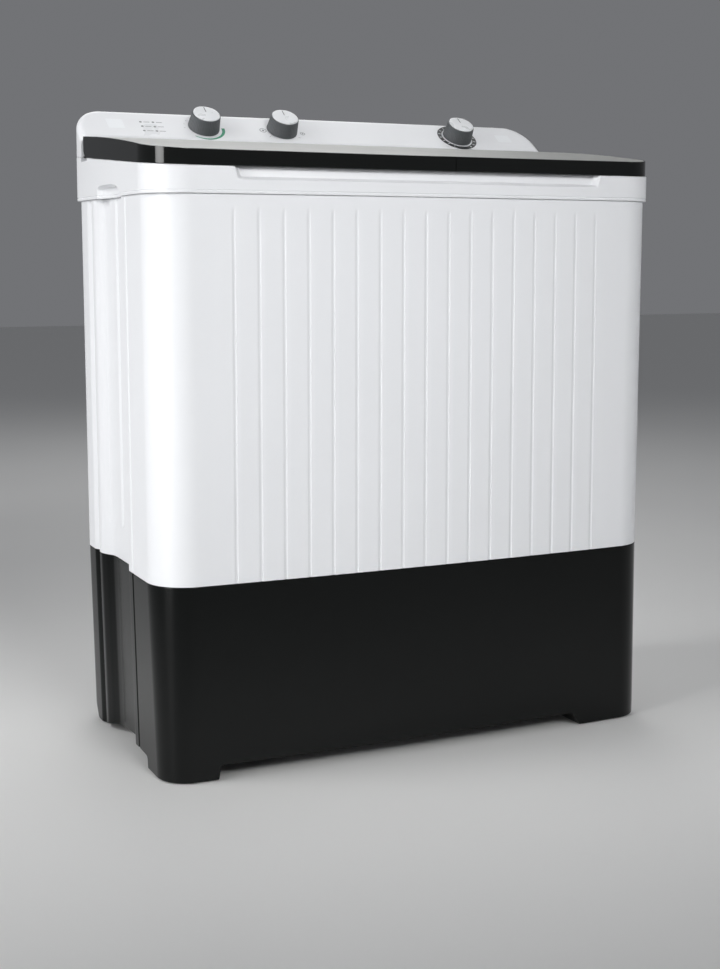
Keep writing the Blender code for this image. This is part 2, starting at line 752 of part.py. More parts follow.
def drive_belt():
    """Belt round both pulleys: an arc on each, joined by the outer tangents."""
    big = Vector((PULSATOR[0], PULSATOR[1]))
    small = Vector((MOTOR[0], MOTOR[1]))
    line = small - big
    heading = math.degrees(math.atan2(line.y, line.x))
    lean = math.degrees(math.acos((BELT_R[0] - BELT_R[1]) / line.length))
    route = arc(*big, BELT_R[0], heading + lean, heading + 360 - lean, 18)
    route += arc(*small, BELT_R[1], heading - lean, heading + lean, 6)
    tube("drive_belt", [place(x, depth, BELT_Z) for x, depth in route], BELT_TUBE, rubber(), cyclic=True, sides=1)


def spin_drive():
    centre = place(*SPIN, 0.0)
    casing = [(0.0, 0.205), (0.030, 0.205), (0.060, 0.196), (0.062, 0.110), (0.062, 0.095), (0.0, 0.095)]
    lathe("spin_motor", casing, centre, dark_steel(), steps=20, closed=False)
    for i in range(3):
        angle = math.radians(90 + 120 * i)
        spot = place(SPIN[0] + 0.044 * math.cos(angle), SPIN[1] + 0.044 * math.sin(angle), FOOT_H + 0.0044)
        mount = [(0.0, 0.0675)]
        for z in (0.0675, 0.0340):
            mount += [(0.011, z), (0.015, z - 0.015), (0.011, z - 0.030)]
        mount += [(0.015, 0.0), (0.0, 0.0)]
        lathe(f"spin_motor_mount_{i + 1}", mount, spot, rubber(), steps=10, closed=False)
    shaft = [
        (0.0, BASKET_Z[0] - GAP), (0.008, BASKET_Z[0] - GAP), (0.008, 0.285), (0.020, 0.285), (0.020, 0.278),
        (0.055, 0.278), (0.055, 0.243), (0.050, 0.243), (0.050, 0.272), (0.016, 0.272), (0.016, 0.2055),
        (0.0, 0.2055),
    ]
    lathe("spin_shaft", shaft, centre, steel(), steps=20, closed=False)
    seal = [(0.014, 0.452), (0.020, 0.448), (0.036, 0.4345), (0.036, SPIN_FLOOR_Z + GAP),
            (0.0296, SPIN_FLOOR_Z + GAP), (0.0296, 0.418), (0.024, 0.405), (0.0088, 0.405), (0.0088, 0.452)]
    lathe("spin_seal", seal, centre, rubber(), steps=14)
    band = arc(*SPIN, 0.0585, 30, 330, 20) + arc(*SPIN, 0.0562, 330, 30, 20)
    prism("brake_band", band, 0.250, 0.270, dark_steel())


def brake():
    """Brake lever beside the drum, and the cable that the spin lid pulls it with."""
    pivot = (SPIN[0] + 0.078, SPIN[1] + 0.030)
    outline = arc(*pivot, 0.007, 90, 270, 5)
    outline += [(pivot[0] + 0.050, pivot[1] - 0.004), (pivot[0] + 0.050, pivot[1] + 0.004)]
    lever = prism("brake_lever", outline, 0.256, 0.262, steel())
    hang([lever], place(*pivot, 0.259), "brake_lever_pivot")
    start = place(pivot[0] + 0.046, pivot[1], 0.2626)
    route = [start]
    stops = [(0.360, 0.202, 0.285), (0.376, 0.225, 0.330), (0.384, 0.262, 0.400), (0.386, 0.288, 0.500),
             (0.386, 0.296, 0.620), (0.386, 0.300, 0.740), (0.388, 0.302, 0.830), (0.390, 0.303, 0.880)]
    route += [place(*stop) for stop in stops]
    tube("brake_cable", route, 0.002, rubber(), sides=1)


# ------------------------------------------------------------------ water and wiring
def smooth_route(stops, steps=5):
    """Points of a smooth curve through the stops (a Catmull-Rom curve)."""
    points = [Vector(stop) for stop in stops]
    padded = [2 * points[0] - points[1]] + points + [2 * points[-1] - points[-2]]
    route = []
    for p0, p1, p2, p3 in zip(padded, padded[1:], padded[2:], padded[3:]):
        for i in range(steps):
            t = i / steps
            route.append(0.5 * (2 * p1 + (p2 - p0) * t + (2 * p0 - 5 * p1 + 4 * p2 - p3) * t * t
                                + (3 * p1 - p0 - 3 * p2 + p3) * t ** 3))
    return route + [points[-1]]


def hose(name, radius, stops):
    """A hose whose two end stretches are straight."""
    points = [place(*stop) for stop in stops]
    tube(name, [points[0]] + smooth_route(points[1:-1], 3) + [points[-1]], radius, hose_grey())


def plumbing():
    floor = WASH_FLOOR_Z - 0.0025 - GAP
    sump = [(0.026, floor), (0.026, 0.392), (0.013, 0.384), (0.013, 0.360), (0.0105, 0.360), (0.0105, 0.386),
            (0.0235, 0.394), (0.0235, floor)]
    lathe("drain_sump", sump, place(*DRAIN, 0.0), hose_grey(), steps=18)
    hose("wash_drain_hose", 0.0120, [
        (*DRAIN, 0.3596), (*DRAIN, 0.345), (-0.070, 0.295, 0.310), (-0.030, 0.340, 0.245),
        (0.025, 0.366, 0.200), (0.045, 0.370, 0.165), (0.045, 0.370, 0.1504),
    ])
    hose("spin_drain_hose", 0.0110, [
        (0.150, 0.220, 0.4270), (0.150, 0.220, 0.410), (0.149, 0.225, 0.370), (0.128, 0.275, 0.290),
        (0.088, 0.355, 0.205), (0.075, 0.370, 0.165), (0.075, 0.370, 0.1504),
    ])
    body = box("drain_outlet", (OUTLET[0] - 0.030, 0.352, OUTLET[1] - 0.025),
               (OUTLET[0] + 0.030, 0.390, 0.1500), hose_grey())
    join(body, cylinder("spigot_tool", place(OUTLET[0], 0.385, OUTLET[1]), place(OUTLET[0], 0.4262, OUTLET[1]), 0.0160))
    cut(body, cylinder("spigot_bore_cutter", place(OUTLET[0], 0.362, OUTLET[1]),
                       place(OUTLET[0], 0.460, OUTLET[1]), 0.0130))
    end = DECK_REAR - 0.0003
    for name, x in (("inlet_spigot_wash", PULSATOR[0]), ("inlet_spigot_spin", SPIN[0])):
        profile = [(0.0130, end), (0.0130, 0.4205), (0.0180, 0.4200), (0.0180, BODY_REAR + GAP),
                   (0.0130, BODY_REAR + GAP), (0.0130, 0.3950), (0.0085, 0.3950), (0.0085, end)]
        lathe(name, profile, place(x, 0.0, 0.795), charcoal(), steps=16, axis="Y")
    gland = [(0.0070, end), (0.0100, 0.4230), (0.0120, BODY_REAR - 0.001 + GAP),
             (0.0080, BODY_REAR - 0.001 + GAP), (0.0080, 0.4060), (0.0040, 0.4060), (0.0040, end)]
    lathe("cord_gland", gland, place(-0.26, 0.0, 0.12), rubber(), steps=14, axis="Y")
    cylinder("capacitor", place(-0.20, 0.345, FOOT_H + 0.0046), place(-0.20, 0.345, 0.100), 0.021,
             hose_grey(), 16)


# ------------------------------------------------------------------ console and knobs
def face_height(depth):
    return CONSOLE_PEAK[1] - (CONSOLE_PEAK[0] - depth) * math.tan(CONSOLE_SLOPE)


def face_point(x, lift):
    """A point lift above the console's face, over a knob's centre."""
    base = place(x, KNOB_DEPTH, face_height(KNOB_DEPTH))
    return base + lift * Vector((0, -math.sin(CONSOLE_SLOPE), math.cos(CONSOLE_SLOPE)))


def console_plan(inset):
    half = DECK_HALF - CONSOLE_INSET - inset
    rear = DECK_REAR - CONSOLE_INSET - inset
    radius = CONSOLE_CORNER - inset
    front = CONSOLE_FRONT + 0.25 * inset
    points = [(-half, front), (half, front)]
    points += arc(half - radius, rear - radius, radius, 0, 90, 7)
    points += arc(-half + radius, rear - radius, radius, 90, 180, 7)
    return points


def console_level(inset, drop):
    """A section that lies parallel to the console's sloping face, drop below it."""
    return raised(console_plan(inset), lambda depth: face_height(depth) - drop)


def control_console():
    skin = 0.0025
    levels = [raised(console_plan(0.0), lambda depth: deck_top(depth) + GAP), console_level(0.0, CONSOLE_ROUND)]
    for angle in (22.5, 45.0, 67.5, 90.0):
        inset = CONSOLE_ROUND * (1.0 - math.cos(math.radians(angle)))
        levels.append(console_level(inset, CONSOLE_ROUND * (1.0 - math.sin(math.radians(angle)))))
    console = loft("control_console", levels, white())
    hollow = loft("console_hollow_cutter", [
        raised(console_plan(skin), 0.890), console_level(skin, 0.0160), console_level(skin + 0.008, 0.0036),
    ])
    cut(console, hollow)
    for x in KNOB_X.values():
        cut(console, cylinder("knob_hole_cutter", face_point(x, -0.012), face_point(x, 0.010), 0.0048, segments=14))
    for name, x in KNOB_X.items():
        cylinder(name + "_switch" if name == "selector" else name, face_point(x, -0.0265), face_point(x, -0.0036),
                 0.018, hose_grey(), 16)
    return console


def knobs():
    for name, x in KNOB_X.items():
        profile = [
            (0.0, KNOB_H), (KNOB_R[1] - 0.0010, KNOB_H), (KNOB_R[1], KNOB_H - 0.0010), (KNOB_R[0], 0.0012),
            (KNOB_R[0] - 0.0006, 0.0008), (0.0035, 0.0008), (0.0035, -0.0030), (0.0, -0.0030),
        ]
        lathe(name + "_knob", profile, face_point(x, 0.0), knob_grey(), steps=24, axis="FACE", closed=False)
        cap = [(0.0, KNOB_H + GAP + CAP_H), (KNOB_R[1] - 0.0022, KNOB_H + GAP + CAP_H),
               (KNOB_R[1] - 0.0014, KNOB_H + GAP + CAP_H - 0.0006), (KNOB_R[1] - 0.0014, KNOB_H + GAP),
               (0.0, KNOB_H + GAP)]
        lathe(name + "_knob_cap", cap, face_point(x, 0.0), cap_silver(), steps=24, axis="FACE", closed=False)


# ------------------------------------------------------------------ lids
def lid_outline(name, inset, reach):
    """Plan outline of a lid; inset moves its front and outer side in, reach its other two sides out."""
    half = DECK_HALF - LID_INSET
    front = DECK_FRONT + LID_INSET
    radius = FRONT_CORNER - inset
    corner = arc(half - FRONT_CORNER, front + FRONT_CORNER, radius, -90, 0, 8)
    if name == "wash":
        seam = LID_SEAM - 0.0005 + reach
        corner = [(-x, depth) for x, depth in reversed(corner)]
        stops = [-0.32, -0.26, -0.20, -0.14, -0.08, -0.02, seam]
    else:
        seam = LID_SEAM + 0.0005 - reach
        stops = [seam, 0.10, 0.16, 0.21, 0.26, 0.32]
    front_points = [(x, front + inset - bowed(x, DECK_HALF)) for x in stops]
    rear = LID_REAR + reach
    if name == "wash":
        return [(-half + inset, rear)] + corner + front_points + [(seam, rear)]
    return [(seam, rear)] + front_points + corner + [(half - inset, rear)]


def lid_profile(drop, floor, rear=LID_REAR, chamfer=True):
    """Side section of a lid: depth and height, its top lowered by drop."""
    depths = [-0.03, 0.0, 0.03, 0.07, 0.12, 0.17, 0.22, 0.27, 0.31, rear]
    top = [(depth, lid_top(depth) - drop) for depth in depths]
    if chamfer:
        bottom = [(rear, 0.9135), (rear - 0.010, floor(rear - 0.010)), (-0.03, floor(-0.03))]
    else:
        bottom = [(rear, floor(rear)), (-0.03, floor(-0.03))]
    return list(reversed(top)) + [bottom[-1]] + list(reversed(bottom[:-1]))


def seat(depth):
    return deck_top(depth) + 0.0006


def lid_band(name, x0, x1):
    band = prism(name + "_lid_band", lid_profile(0.0, seat), x0, x1, black(), "X")
    keep(band, prism(name + "_band_plan_tool", lid_outline(name, 0.0, 0.0), 0.86, 0.96))
    cut(band, prism(name + "_band_inner_cutter", lid_outline(name, BAND, 0.03), 0.86, 0.96))
    return band


def lug_outline():
    """Lug under the lid's skin with a round end about the hinge axis: depth and height."""
    depth, z = HINGE
    radius = 0.0065
    end = [(depth + radius * math.cos(math.radians(a)), z + radius * math.sin(math.radians(a)))
           for a in range(180, 361, 30)]
    return end + [(depth + radius, lid_top(depth + radius) - 0.0015), (depth - radius, lid_top(depth - radius) - 0.0015)]


def lid_panel(name, x0, x1):
    panel = prism(name + "_lid_panel", lid_profile(0.0, seat), x0, x1, lid_grey(), "X")
    keep(panel, prism(name + "_panel_plan_tool", lid_outline(name, BAND + GAP, 0.0), 0.86, 0.96))
    hollow = prism(name + "_lid_hollow_cutter", lid_profile(WALL, lambda depth: 0.85, LID_REAR + 0.02, False),
                   x0, x1, along="X")
    inner = lid_outline(name, BAND + GAP + WALL, -WALL)
    rear_row = LID_REAR - WALL
    open_rear = [(x, depth + 0.02 if abs(depth - rear_row) < 1e-6 else depth) for x, depth in inner]
    keep(hollow, prism(name + "_hollow_plan_tool", open_rear, 0.84, 0.97))
    cut(panel, hollow)
    for _, (lug0, lug1) in hinge_spans()[name]:
        join(panel, prism(name + "_lug_tool", lug_outline(), lug0, lug1, along="X"))
    depth, z = HINGE
    cut(panel, cylinder(name + "_lug_bore_cutter", place(x0 + 0.012, depth, z), place(x1 - 0.006, depth, z), 0.0028,
                        segments=12))
    return panel


def lids():
    axis = place(0.0, *HINGE)
    wash = [lid_panel("wash", -0.4205, LID_SEAM), lid_band("wash", -0.425, LID_SEAM + 0.002)]
    hang(wash, axis, "wash_lid_hinge")
    spin = [lid_panel("spin", LID_SEAM - 0.006, 0.4265), lid_band("spin", LID_SEAM - 0.002, 0.425)]
    hang(spin, axis, "spin_lid_hinge")


def cover_axis_z():
    return deck_top(COVER_HINGE) + 0.0055


def spin_inner_cover():
    """Inner cover over the spin tub, lying on the deck under the spin lid."""
    def low(depth):
        return deck_top(depth) + 0.0008

    def high(depth):
        return deck_top(depth) + 0.0048

    profile = [(0.030, low(0.030)), (0.303, low(0.303)), (0.303, high(0.303)), (0.030, high(0.030))]
    cover = prism("spin_inner_cover", profile, 0.090, 0.374, tub_blue(), "X")
    keep(cover, prism("cover_plan_tool", rounded_rect((0.1145, 0.030), (0.3475, 0.304), 0.030), 0.85, 0.95))
    axis = cover_axis_z()
    join(cover, cylinder("cover_barrel_tool", place(0.1145, COVER_HINGE, axis), place(0.3475, COVER_HINGE, axis),
                         0.0042, segments=12))
    join(cover, cylinder("cover_stub_tool", place(0.1085, COVER_HINGE, axis), place(0.3535, COVER_HINGE, axis),
                         0.0020, segments=12))
    hang([cover], place(0.0, COVER_HINGE, axis), "inner_cover_hinge")


# ------------------------------------------------------------------ build
def main():
    global parts, cutters
    for old in list(bpy.data.objects):
        bpy.data.objects.remove(old, do_unlink=True)
    parts = bpy.data.collections.new("twin_tub_washer")
    cutters = bpy.data.collections.new("cutters")
    bpy.context.scene.collection.children.link(parts)
    bpy.context.scene.collection.children.link(cutters)
    base_housing()
    foot_pads()
    smooth(cabinet(), top_deck())
    back_cover()
    hinge_pins()
    wash_tub()
    spin_tub()
    overflow_cover()
    drain_plug()
    pulsator()
    spin_basket()
    wash_drive()
    spin_drive()
    brake()
    plumbing()
    smooth(control_console())
    knobs()
    lids()
    spin_inner_cover()


main()
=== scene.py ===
"""Looks of the twin tub washer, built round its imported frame.

Metres, +Z up, -Y is the front. Depths are measured back from the plane of the front panel's corners, and
place() turns them into Y. The sizes are the ones that the frame was modelled with. main() loads the frame,
makes the finishes and the stage, and then builds a finer piece for every solid of the frame.
"""

import json
import math

import bmesh
import bpy
from mathutils import Matrix, Vector

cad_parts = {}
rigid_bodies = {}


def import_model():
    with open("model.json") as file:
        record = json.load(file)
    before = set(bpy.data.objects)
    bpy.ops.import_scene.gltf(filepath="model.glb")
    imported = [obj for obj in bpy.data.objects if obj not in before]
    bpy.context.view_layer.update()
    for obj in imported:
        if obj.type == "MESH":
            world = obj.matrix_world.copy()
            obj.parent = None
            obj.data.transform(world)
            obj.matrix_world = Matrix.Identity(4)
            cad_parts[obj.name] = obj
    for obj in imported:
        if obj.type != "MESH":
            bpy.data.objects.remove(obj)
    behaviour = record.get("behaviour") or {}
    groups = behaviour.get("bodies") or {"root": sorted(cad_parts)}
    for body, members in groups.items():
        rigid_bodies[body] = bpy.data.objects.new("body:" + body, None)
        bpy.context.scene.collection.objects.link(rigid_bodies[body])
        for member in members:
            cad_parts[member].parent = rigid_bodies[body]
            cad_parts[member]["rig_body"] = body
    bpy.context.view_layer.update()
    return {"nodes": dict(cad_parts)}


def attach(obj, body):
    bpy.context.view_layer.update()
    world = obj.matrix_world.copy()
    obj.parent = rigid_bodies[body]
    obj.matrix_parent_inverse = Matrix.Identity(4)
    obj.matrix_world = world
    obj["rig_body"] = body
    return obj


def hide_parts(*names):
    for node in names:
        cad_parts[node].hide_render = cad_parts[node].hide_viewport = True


# --- camera
CAMERA_SPOT = (-1.0351, -2.1939, 0.7526)
CAMERA_TILT = 0.10849
CAMERA_TURN = -0.437531
CAMERA_LENS = 55.77
CAMERA_SHIFT = -0.0666

# --- sizes of the frame
FRONT = -0.2085
GAP = 0.0004
WALL = 0.003
BOW = 0.008
FRONT_CORNER = 0.06
REAR_CORNER = 0.05
FOOT_CORNER = 0.046
FOOT_H = 0.0226
PAD_TOP = 0.0012
FOOT_TAPER = 0.012
JOINT_Z = 0.287
DECK_Z = 0.8395
BASE_HALF = (0.4095, 0.4155)
CABINET_HALF = (0.4155, 0.4181)
BODY_FRONT = 0.0015
BODY_REAR = 0.4175
DECK_HALF = 0.422
DECK_FRONT = -0.0015
DECK_REAR = 0.4265
RIB_COUNT = 17
RIB_PITCH = 0.0375
RIB_TOP_Z = 0.812
DECK_TOP = (0.8777, 0.08)
DECK_UNDER = (0.8747, 0.06)
LID_TOP = (0.9005, 0.1515, -0.12)
SCOOP_HALF = 0.2975
SCOOP_Z = 0.8585
SCOOP_DEPTH = 0.012
LID_REAR = 0.346
LID_SEAM = 0.047
LID_INSET = 0.0012
BAND = 0.0026
HINGE = (0.328, 0.926)
CHANNEL = (0.322, 0.357, 0.8995)
CONSOLE_FRONT = 0.3575
CONSOLE_SLOPE = math.radians(36.5)
CONSOLE_PEAK = (0.4223, 0.9885)
CONSOLE_ROUND = 0.0125
CONSOLE_CORNER = 0.048
CONSOLE_INSET = 0.0006
KNOB_DEPTH = 0.386
KNOB_X = {"wash_timer": -0.209, "selector": -0.071, "spin_timer": 0.2635}
KNOB_R = (0.0262, 0.0236)
KNOB_H = 0.0262
CAP_H = 0.0014
WASH_OPENING = ((-0.38, 0.02), (0.026, 0.312))
WASH_FLOOR = ((-0.358, 0.03), (0.004, 0.302))
WASH_FLOOR_Z = 0.415
PULSATOR = (-0.177, 0.166)
PULSATOR_R = 0.126
SPIN = (0.232, 0.166)
SPIN_TUB_R = 0.148
SPIN_OPENING_R = 0.122
SPIN_FLOOR_Z = 0.43
BASKET_R = 0.118
BASKET_Z = (0.462, 0.868)
MOTOR = (-0.315, 0.225)
BELT_Z = 0.271
BELT_R = (0.0765, 0.0215)
DRAIN = (-0.075, 0.28)
OUTLET = (0.06, 0.105)
COVER_BOX = ((-0.315, 0.315), (0.315, 0.635))
COVER_HINGE = 0.306
PIN_BORE = 0.0028
LID_HEEL_Z = 0.9135
LID_STOP = (0.3385, 0.3435, 0.908)
INLET_Z = 0.795
GLAND = (-0.26, 0.12)
SPIN_DRAIN = (0.15, 0.22)
SIDE = (
    (0.116, 0.0), (0.128, 0.0), (0.1315, 0.0022), (0.135, 0.0), (0.15, 0.0), (0.16, 0.006),
    (0.172, 0.012), (0.188, 0.0135), (0.2165, 0.0135), (0.2245, 0.0135), (0.2325, 0.0135),
    (0.255, 0.0135), (0.2735, 0.0118), (0.2815, 0.0085), (0.292, 0.0035), (0.304, 0.0),
    (0.312, 0.0), (0.326, 0.006), (0.342, 0.0),
)
FLUTES = {9: 0.003, 13: 0.003}
DECK_SIDE = (
    (0.1, 0.0), (0.147, 0.0), (0.153, 0.0075), (0.163, 0.0115), (0.206, 0.012), (0.247, 0.0115),
    (0.259, 0.0075), (0.2665, 0.0), (0.342, 0.0),
)

# --- finer shape
CORNER_STEPS = 24
PROFILE_STEP = 0.0022
RIB_SHAPE = ((-0.005, 0.0), (-0.0034, 0.28), (-0.0017, 0.78), (0.0, 1.0), (0.0008, 0.8), (0.0015, 0.3),
             (0.0022, 0.0))
RIB_DEPTH = 0.0011
LATHE_STEPS = 96
INK_LIFT = 0.00004
INK = 0.00012
GRAIN_DEPTH = 0.0004
MERGE = 0.000002

# name, place, aim, width, height, power and spread in degrees
LIGHTS = (
    ("key", (0.6, -3.4, 2.7), (0.0, 0.0, 0.5), 2.6, 1.6, 12.0),
    ("beam", (0.1, -3.0, 2.1), (-0.05, -0.2, 0.7), 1.4, 1.0, 3.7, 40.0),
    ("fill", (-1.1, -3.1, 2.5), (-0.1, -0.2, 0.6), 1.5, 1.0, 4.0),
    ("strip", (-2.06, -0.83, 0.9), (-0.4, -0.19, 0.6), 0.76, 1.7, 3.9, 60.0),
    ("side", (-2.3, 0.3, 1.9), (-0.42, 0.05, 0.6), 1.2, 1.0, 3.0, 50.0),
    ("top", (0.9, 0.4, 2.9), (0.1, 0.1, 0.8), 2.0, 1.4, 8.0),
    ("rear", (0.9, 2.9, 3.1), (0.0, 0.2, 0.45), 2.0, 1.4, 28.0),
)

frame = None
finishes = {}


# --- helpers
def place(x, depth, z):
    return Vector((x, FRONT + depth, z))


def deck_top(depth):
    return DECK_TOP[0] + DECK_TOP[1] * depth


def deck_under(depth):
    return DECK_UNDER[0] + DECK_UNDER[1] * depth


def lid_top(depth):
    return LID_TOP[0] + LID_TOP[1] * depth + LID_TOP[2] * depth * depth


def ease(t):
    t = min(max(t, 0.0), 1.0)
    return t * t * (3.0 - 2.0 * t)


def link(name, mesh):
    made = bpy.data.objects.new(name, mesh)
    bpy.context.scene.collection.objects.link(made)
    return made


def from_bmesh(name, bm):
    bmesh.ops.remove_doubles(bm, verts=bm.verts, dist=MERGE)
    bm.normal_update()
    bmesh.ops.recalc_face_normals(bm, faces=bm.faces)
    mesh = bpy.data.meshes.new(name)
    bm.to_mesh(mesh)
    bm.free()
    return link(name, mesh)


def box(name, low, high):
    a = place(*low)
    b = place(*high)
    bm = bmesh.new()
    bmesh.ops.create_cube(bm, size=1.0)
    bmesh.ops.scale(bm, vec=b - a, verts=bm.verts)
    bmesh.ops.translate(bm, vec=(a + b) / 2, verts=bm.verts)
    return from_bmesh(name, bm)


def rods(name, spans, radius, segments=32):
    """Cylinders between pairs of points, as one object."""
    bm = bmesh.new()
    for start, end in spans:
        axis = end - start
        turn = axis.to_track_quat("Z", "Y").to_matrix().to_4x4()
        bmesh.ops.create_cone(bm, cap_ends=True, segments=segments, radius1=radius, radius2=radius,
                              depth=axis.length, matrix=Matrix.Translation((start + end) / 2) @ turn)
    return from_bmesh(name, bm)


def lengthways(x, z, start, end):
    """A rod's ends, from front to rear."""
    return place(x, start, z), place(x, end, z)


def across(depth, z, start, end):
    return place(start, depth, z), place(end, depth, z)


def upright(spot, low, high):
    return place(*spot, low), place(*spot, high)


def axis_turn(axis):
    if axis == "Y":
        return Matrix.Rotation(math.radians(-90), 4, "X")
    if axis == "FACE":
        return Matrix.Rotation(CONSOLE_SLOPE, 4, "X")
    return Matrix.Identity(4)


def lathe(name, profile, centre, steps=LATHE_STEPS, axis="Z", closed=True, wave=None):
    """A turned piece from radius and height pairs; wave(angle, radius, height) may alter the radius."""
    bm = bmesh.new()
    turn = Matrix.Translation(centre) @ axis_turn(axis)
    columns = []
    for i in range(steps):
        angle = 2 * math.pi * i / steps
        column = []
        for radius, height in profile:
            r = radius if wave is None or radius < 1e-6 else wave(angle, radius, height)
            column.append(bm.verts.new(turn @ Vector((r * math.cos(angle), r * math.sin(angle), height))))
        columns.append(column)
    count = len(profile)
    last = count if closed else count - 1
    for i in range(steps):
        a = columns[i]
        b = columns[(i + 1) % steps]
        for j in range(last):
            k = (j + 1) % count
            bm.faces.new((a[j], b[j], b[k], a[k]))
    bmesh.ops.remove_doubles(bm, verts=bm.verts, dist=MERGE)
    bmesh.ops.dissolve_degenerate(bm, edges=bm.edges, dist=0.0000005)
    return from_bmesh(name, bm)


def skinned(name, bm, rings, capped=True):
    """Faces between neighbouring rings, with end caps or else closed on itself."""
    pairs = list(zip(rings, rings[1:]))
    if not capped:
        pairs.append((rings[-1], rings[0]))
    for lower, upper in pairs:
        for i in range(len(lower)):
            j = (i + 1) % len(lower)
            bm.faces.new((lower[i], lower[j], upper[j], upper[i]))
    if capped:
        bm.faces.new(list(reversed(rings[0])))
        bm.faces.new(rings[-1])
    return from_bmesh(name, bm)


def loft(name, sections, capped=True):
    bm = bmesh.new()
    return skinned(name, bm, [[bm.verts.new(point) for point in section] for section in sections], capped)


def prism(name, outline, low, high, along="Z"):
    """A flat outline of x and depth pairs raised in Z, or of depth and height pairs run along X."""
    if along == "Z":
        ends = [[place(x, depth, z) for x, depth in outline] for z in (low, high)]
    else:
        ends = [[place(x, depth, z) for depth, z in outline] for x in (low, high)]
    return loft(name, ends)


def tube(name, route, radius, sides=20, cyclic=False):
    """A round tube along points; radius may be a function of the distance along it."""
    points = [Vector(p) for p in route]
    count = len(points)
    bm = bmesh.new()
    rings = []
    normal = None
    run = 0.0
    for i, point in enumerate(points):
        before = points[i - 1] if i or cyclic else points[0]
        after = points[(i + 1) % count] if i < count - 1 or cyclic else points[-1]
        heading = (after - before).normalized()
        if normal is None:
            normal = heading.orthogonal().normalized()
        normal = (normal - heading * normal.dot(heading)).normalized()
        other = heading.cross(normal)
        if i:
            run += (point - points[i - 1]).length
        r = radius(run) if callable(radius) else radius
        ring = []
        for s in range(sides):
            angle = 2 * math.pi * s / sides
            ring.append(bm.verts.new(point + r * (math.cos(angle) * normal + math.sin(angle) * other)))
        rings.append(ring)
    return skinned(name, bm, rings, not cyclic)


def change(target, tool, operation):
    """A Boolean with a tool that is used up."""
    step = target.modifiers.new("boolean", "BOOLEAN")
    step.operation = operation
    step.solver = "EXACT"
    step.object = tool
    graph = bpy.context.evaluated_depsgraph_get()
    mesh = bpy.data.meshes.new_from_object(target.evaluated_get(graph))
    target.modifiers.clear()
    target.data = mesh
    bpy.data.objects.remove(tool, do_unlink=True)


def cut(target, *tools):
    for tool in tools:
        change(target, tool, "DIFFERENCE")


def drill(target, spans, radius, segments=32):
    cut(target, rods("drill", spans, radius, segments))


def join(target, *tools):
    for tool in tools:
        change(target, tool, "UNION")


def keep(target, tool):
    change(target, tool, "INTERSECT")


def soften(made, width, angle=38):
    """Round the edges and shade the piece smoothly up to them."""
    if width:
        bevel = made.modifiers.new("round", "BEVEL")
        bevel.width = width
        bevel.segments = 2
        bevel.limit_method = "ANGLE"
        bevel.angle_limit = math.radians(angle)
        graph = bpy.context.evaluated_depsgraph_get()
        mesh = bpy.data.meshes.new_from_object(made.evaluated_get(graph))
        made.modifiers.clear()
        made.data = mesh
    made.data.shade_smooth()
    made.data.set_sharp_from_angle(angle=math.radians(angle))
    made.modifiers.new("normals", "WEIGHTED_NORMAL").keep_sharp = True
    return made


def stand_for(made, node, width=0.0, angle=None):
    """The piece takes the node's place, body and finish; its edges are rounded by the width."""
    soften(made, width, angle or (38 if width else 34))
    cad = frame["nodes"][node]
    slot = cad.data.materials[0].name
    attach(made, cad["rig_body"])
    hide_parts(node)
    made.data.materials.clear()
    made.data.materials.append(finishes[slot])
    return made


def add_on(made, body, finish):
    """An extra visible piece on a body."""
    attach(made, body)
    made.data.materials.clear()
    made.data.materials.append(finish)
    return made


def arc(x, depth, radius, start, end, steps):
    points = []
    for i in range(steps + 1):
        angle = math.radians(start + (end - start) * i / steps)
        points.append((x + radius * math.cos(angle), depth + radius * math.sin(angle)))
    return points


def bowed(x, half):
    reach = half - FRONT_CORNER
    return BOW * (1.0 - (x / reach) ** 2)


def curve_through(knots, step=PROFILE_STEP):
    """Depth and push pairs on a smooth curve through the knots that doesn't overshoot them."""
    gaps = [b[0] - a[0] for a, b in zip(knots, knots[1:])]
    rises = [(b[1] - a[1]) / g for a, b, g in zip(knots, knots[1:], gaps)]
    slopes = [0.0]
    for before, after in zip(rises, rises[1:]):
        slopes.append(2 * before * after / (before + after) if before * after > 0 else 0.0)
    slopes.append(0.0)
    points = []
    for i, gap in enumerate(gaps):
        steps = max(1, math.ceil(gap / step))
        for k in range(steps):
            t = k / steps
            value = knots[i][1] * (1 + 2 * t) * (1 - t) ** 2 + slopes[i] * gap * t * (1 - t) ** 2
            value += knots[i + 1][1] * t * t * (3 - 2 * t) + slopes[i + 1] * gap * t * t * (t - 1)
            points.append((knots[i][0] + gap * t, value))
    return points + [tuple(knots[-1])]


def plan(half, front, rear, front_marks, side_marks, inset=0.0, corner=FRONT_CORNER):
    """The machine's outline in plan, moved in by inset; the marks' second values push points in."""
    points = []
    for x, push in front_marks:
        points.append((x, front + inset + push - bowed(x, half)))
    points += arc(half - corner, front + corner, corner - inset, -90, 0, CORNER_STEPS)
    points += [(half - inset - push, depth) for depth, push in side_marks]
    points += arc(half - REAR_CORNER, rear - REAR_CORNER, REAR_CORNER - inset, 0, 90, CORNER_STEPS)
    points += arc(-half + REAR_CORNER, rear - REAR_CORNER, REAR_CORNER - inset, 90, 180, CORNER_STEPS)
    points += [(-half + inset + push, depth) for depth, push in reversed(side_marks)]
    points += arc(-half + corner, front + corner, corner - inset, 180, 270, CORNER_STEPS)
    return points


def raised(points, z):
    return [place(x, depth, z(depth) if callable(z) else z) for x, depth in points]


def rounded_rect(low, high, radius, steps=16):
    (x0, d0), (x1, d1) = low, high
    points = arc(x1 - radius, d0 + radius, radius, -90, 0, steps)
    points += arc(x1 - radius, d1 - radius, radius, 0, 90, steps)
    points += arc(x0 + radius, d1 - radius, radius, 90, 180, steps)
    points += arc(x0 + radius, d0 + radius, radius, 180, 270, steps)
    return points


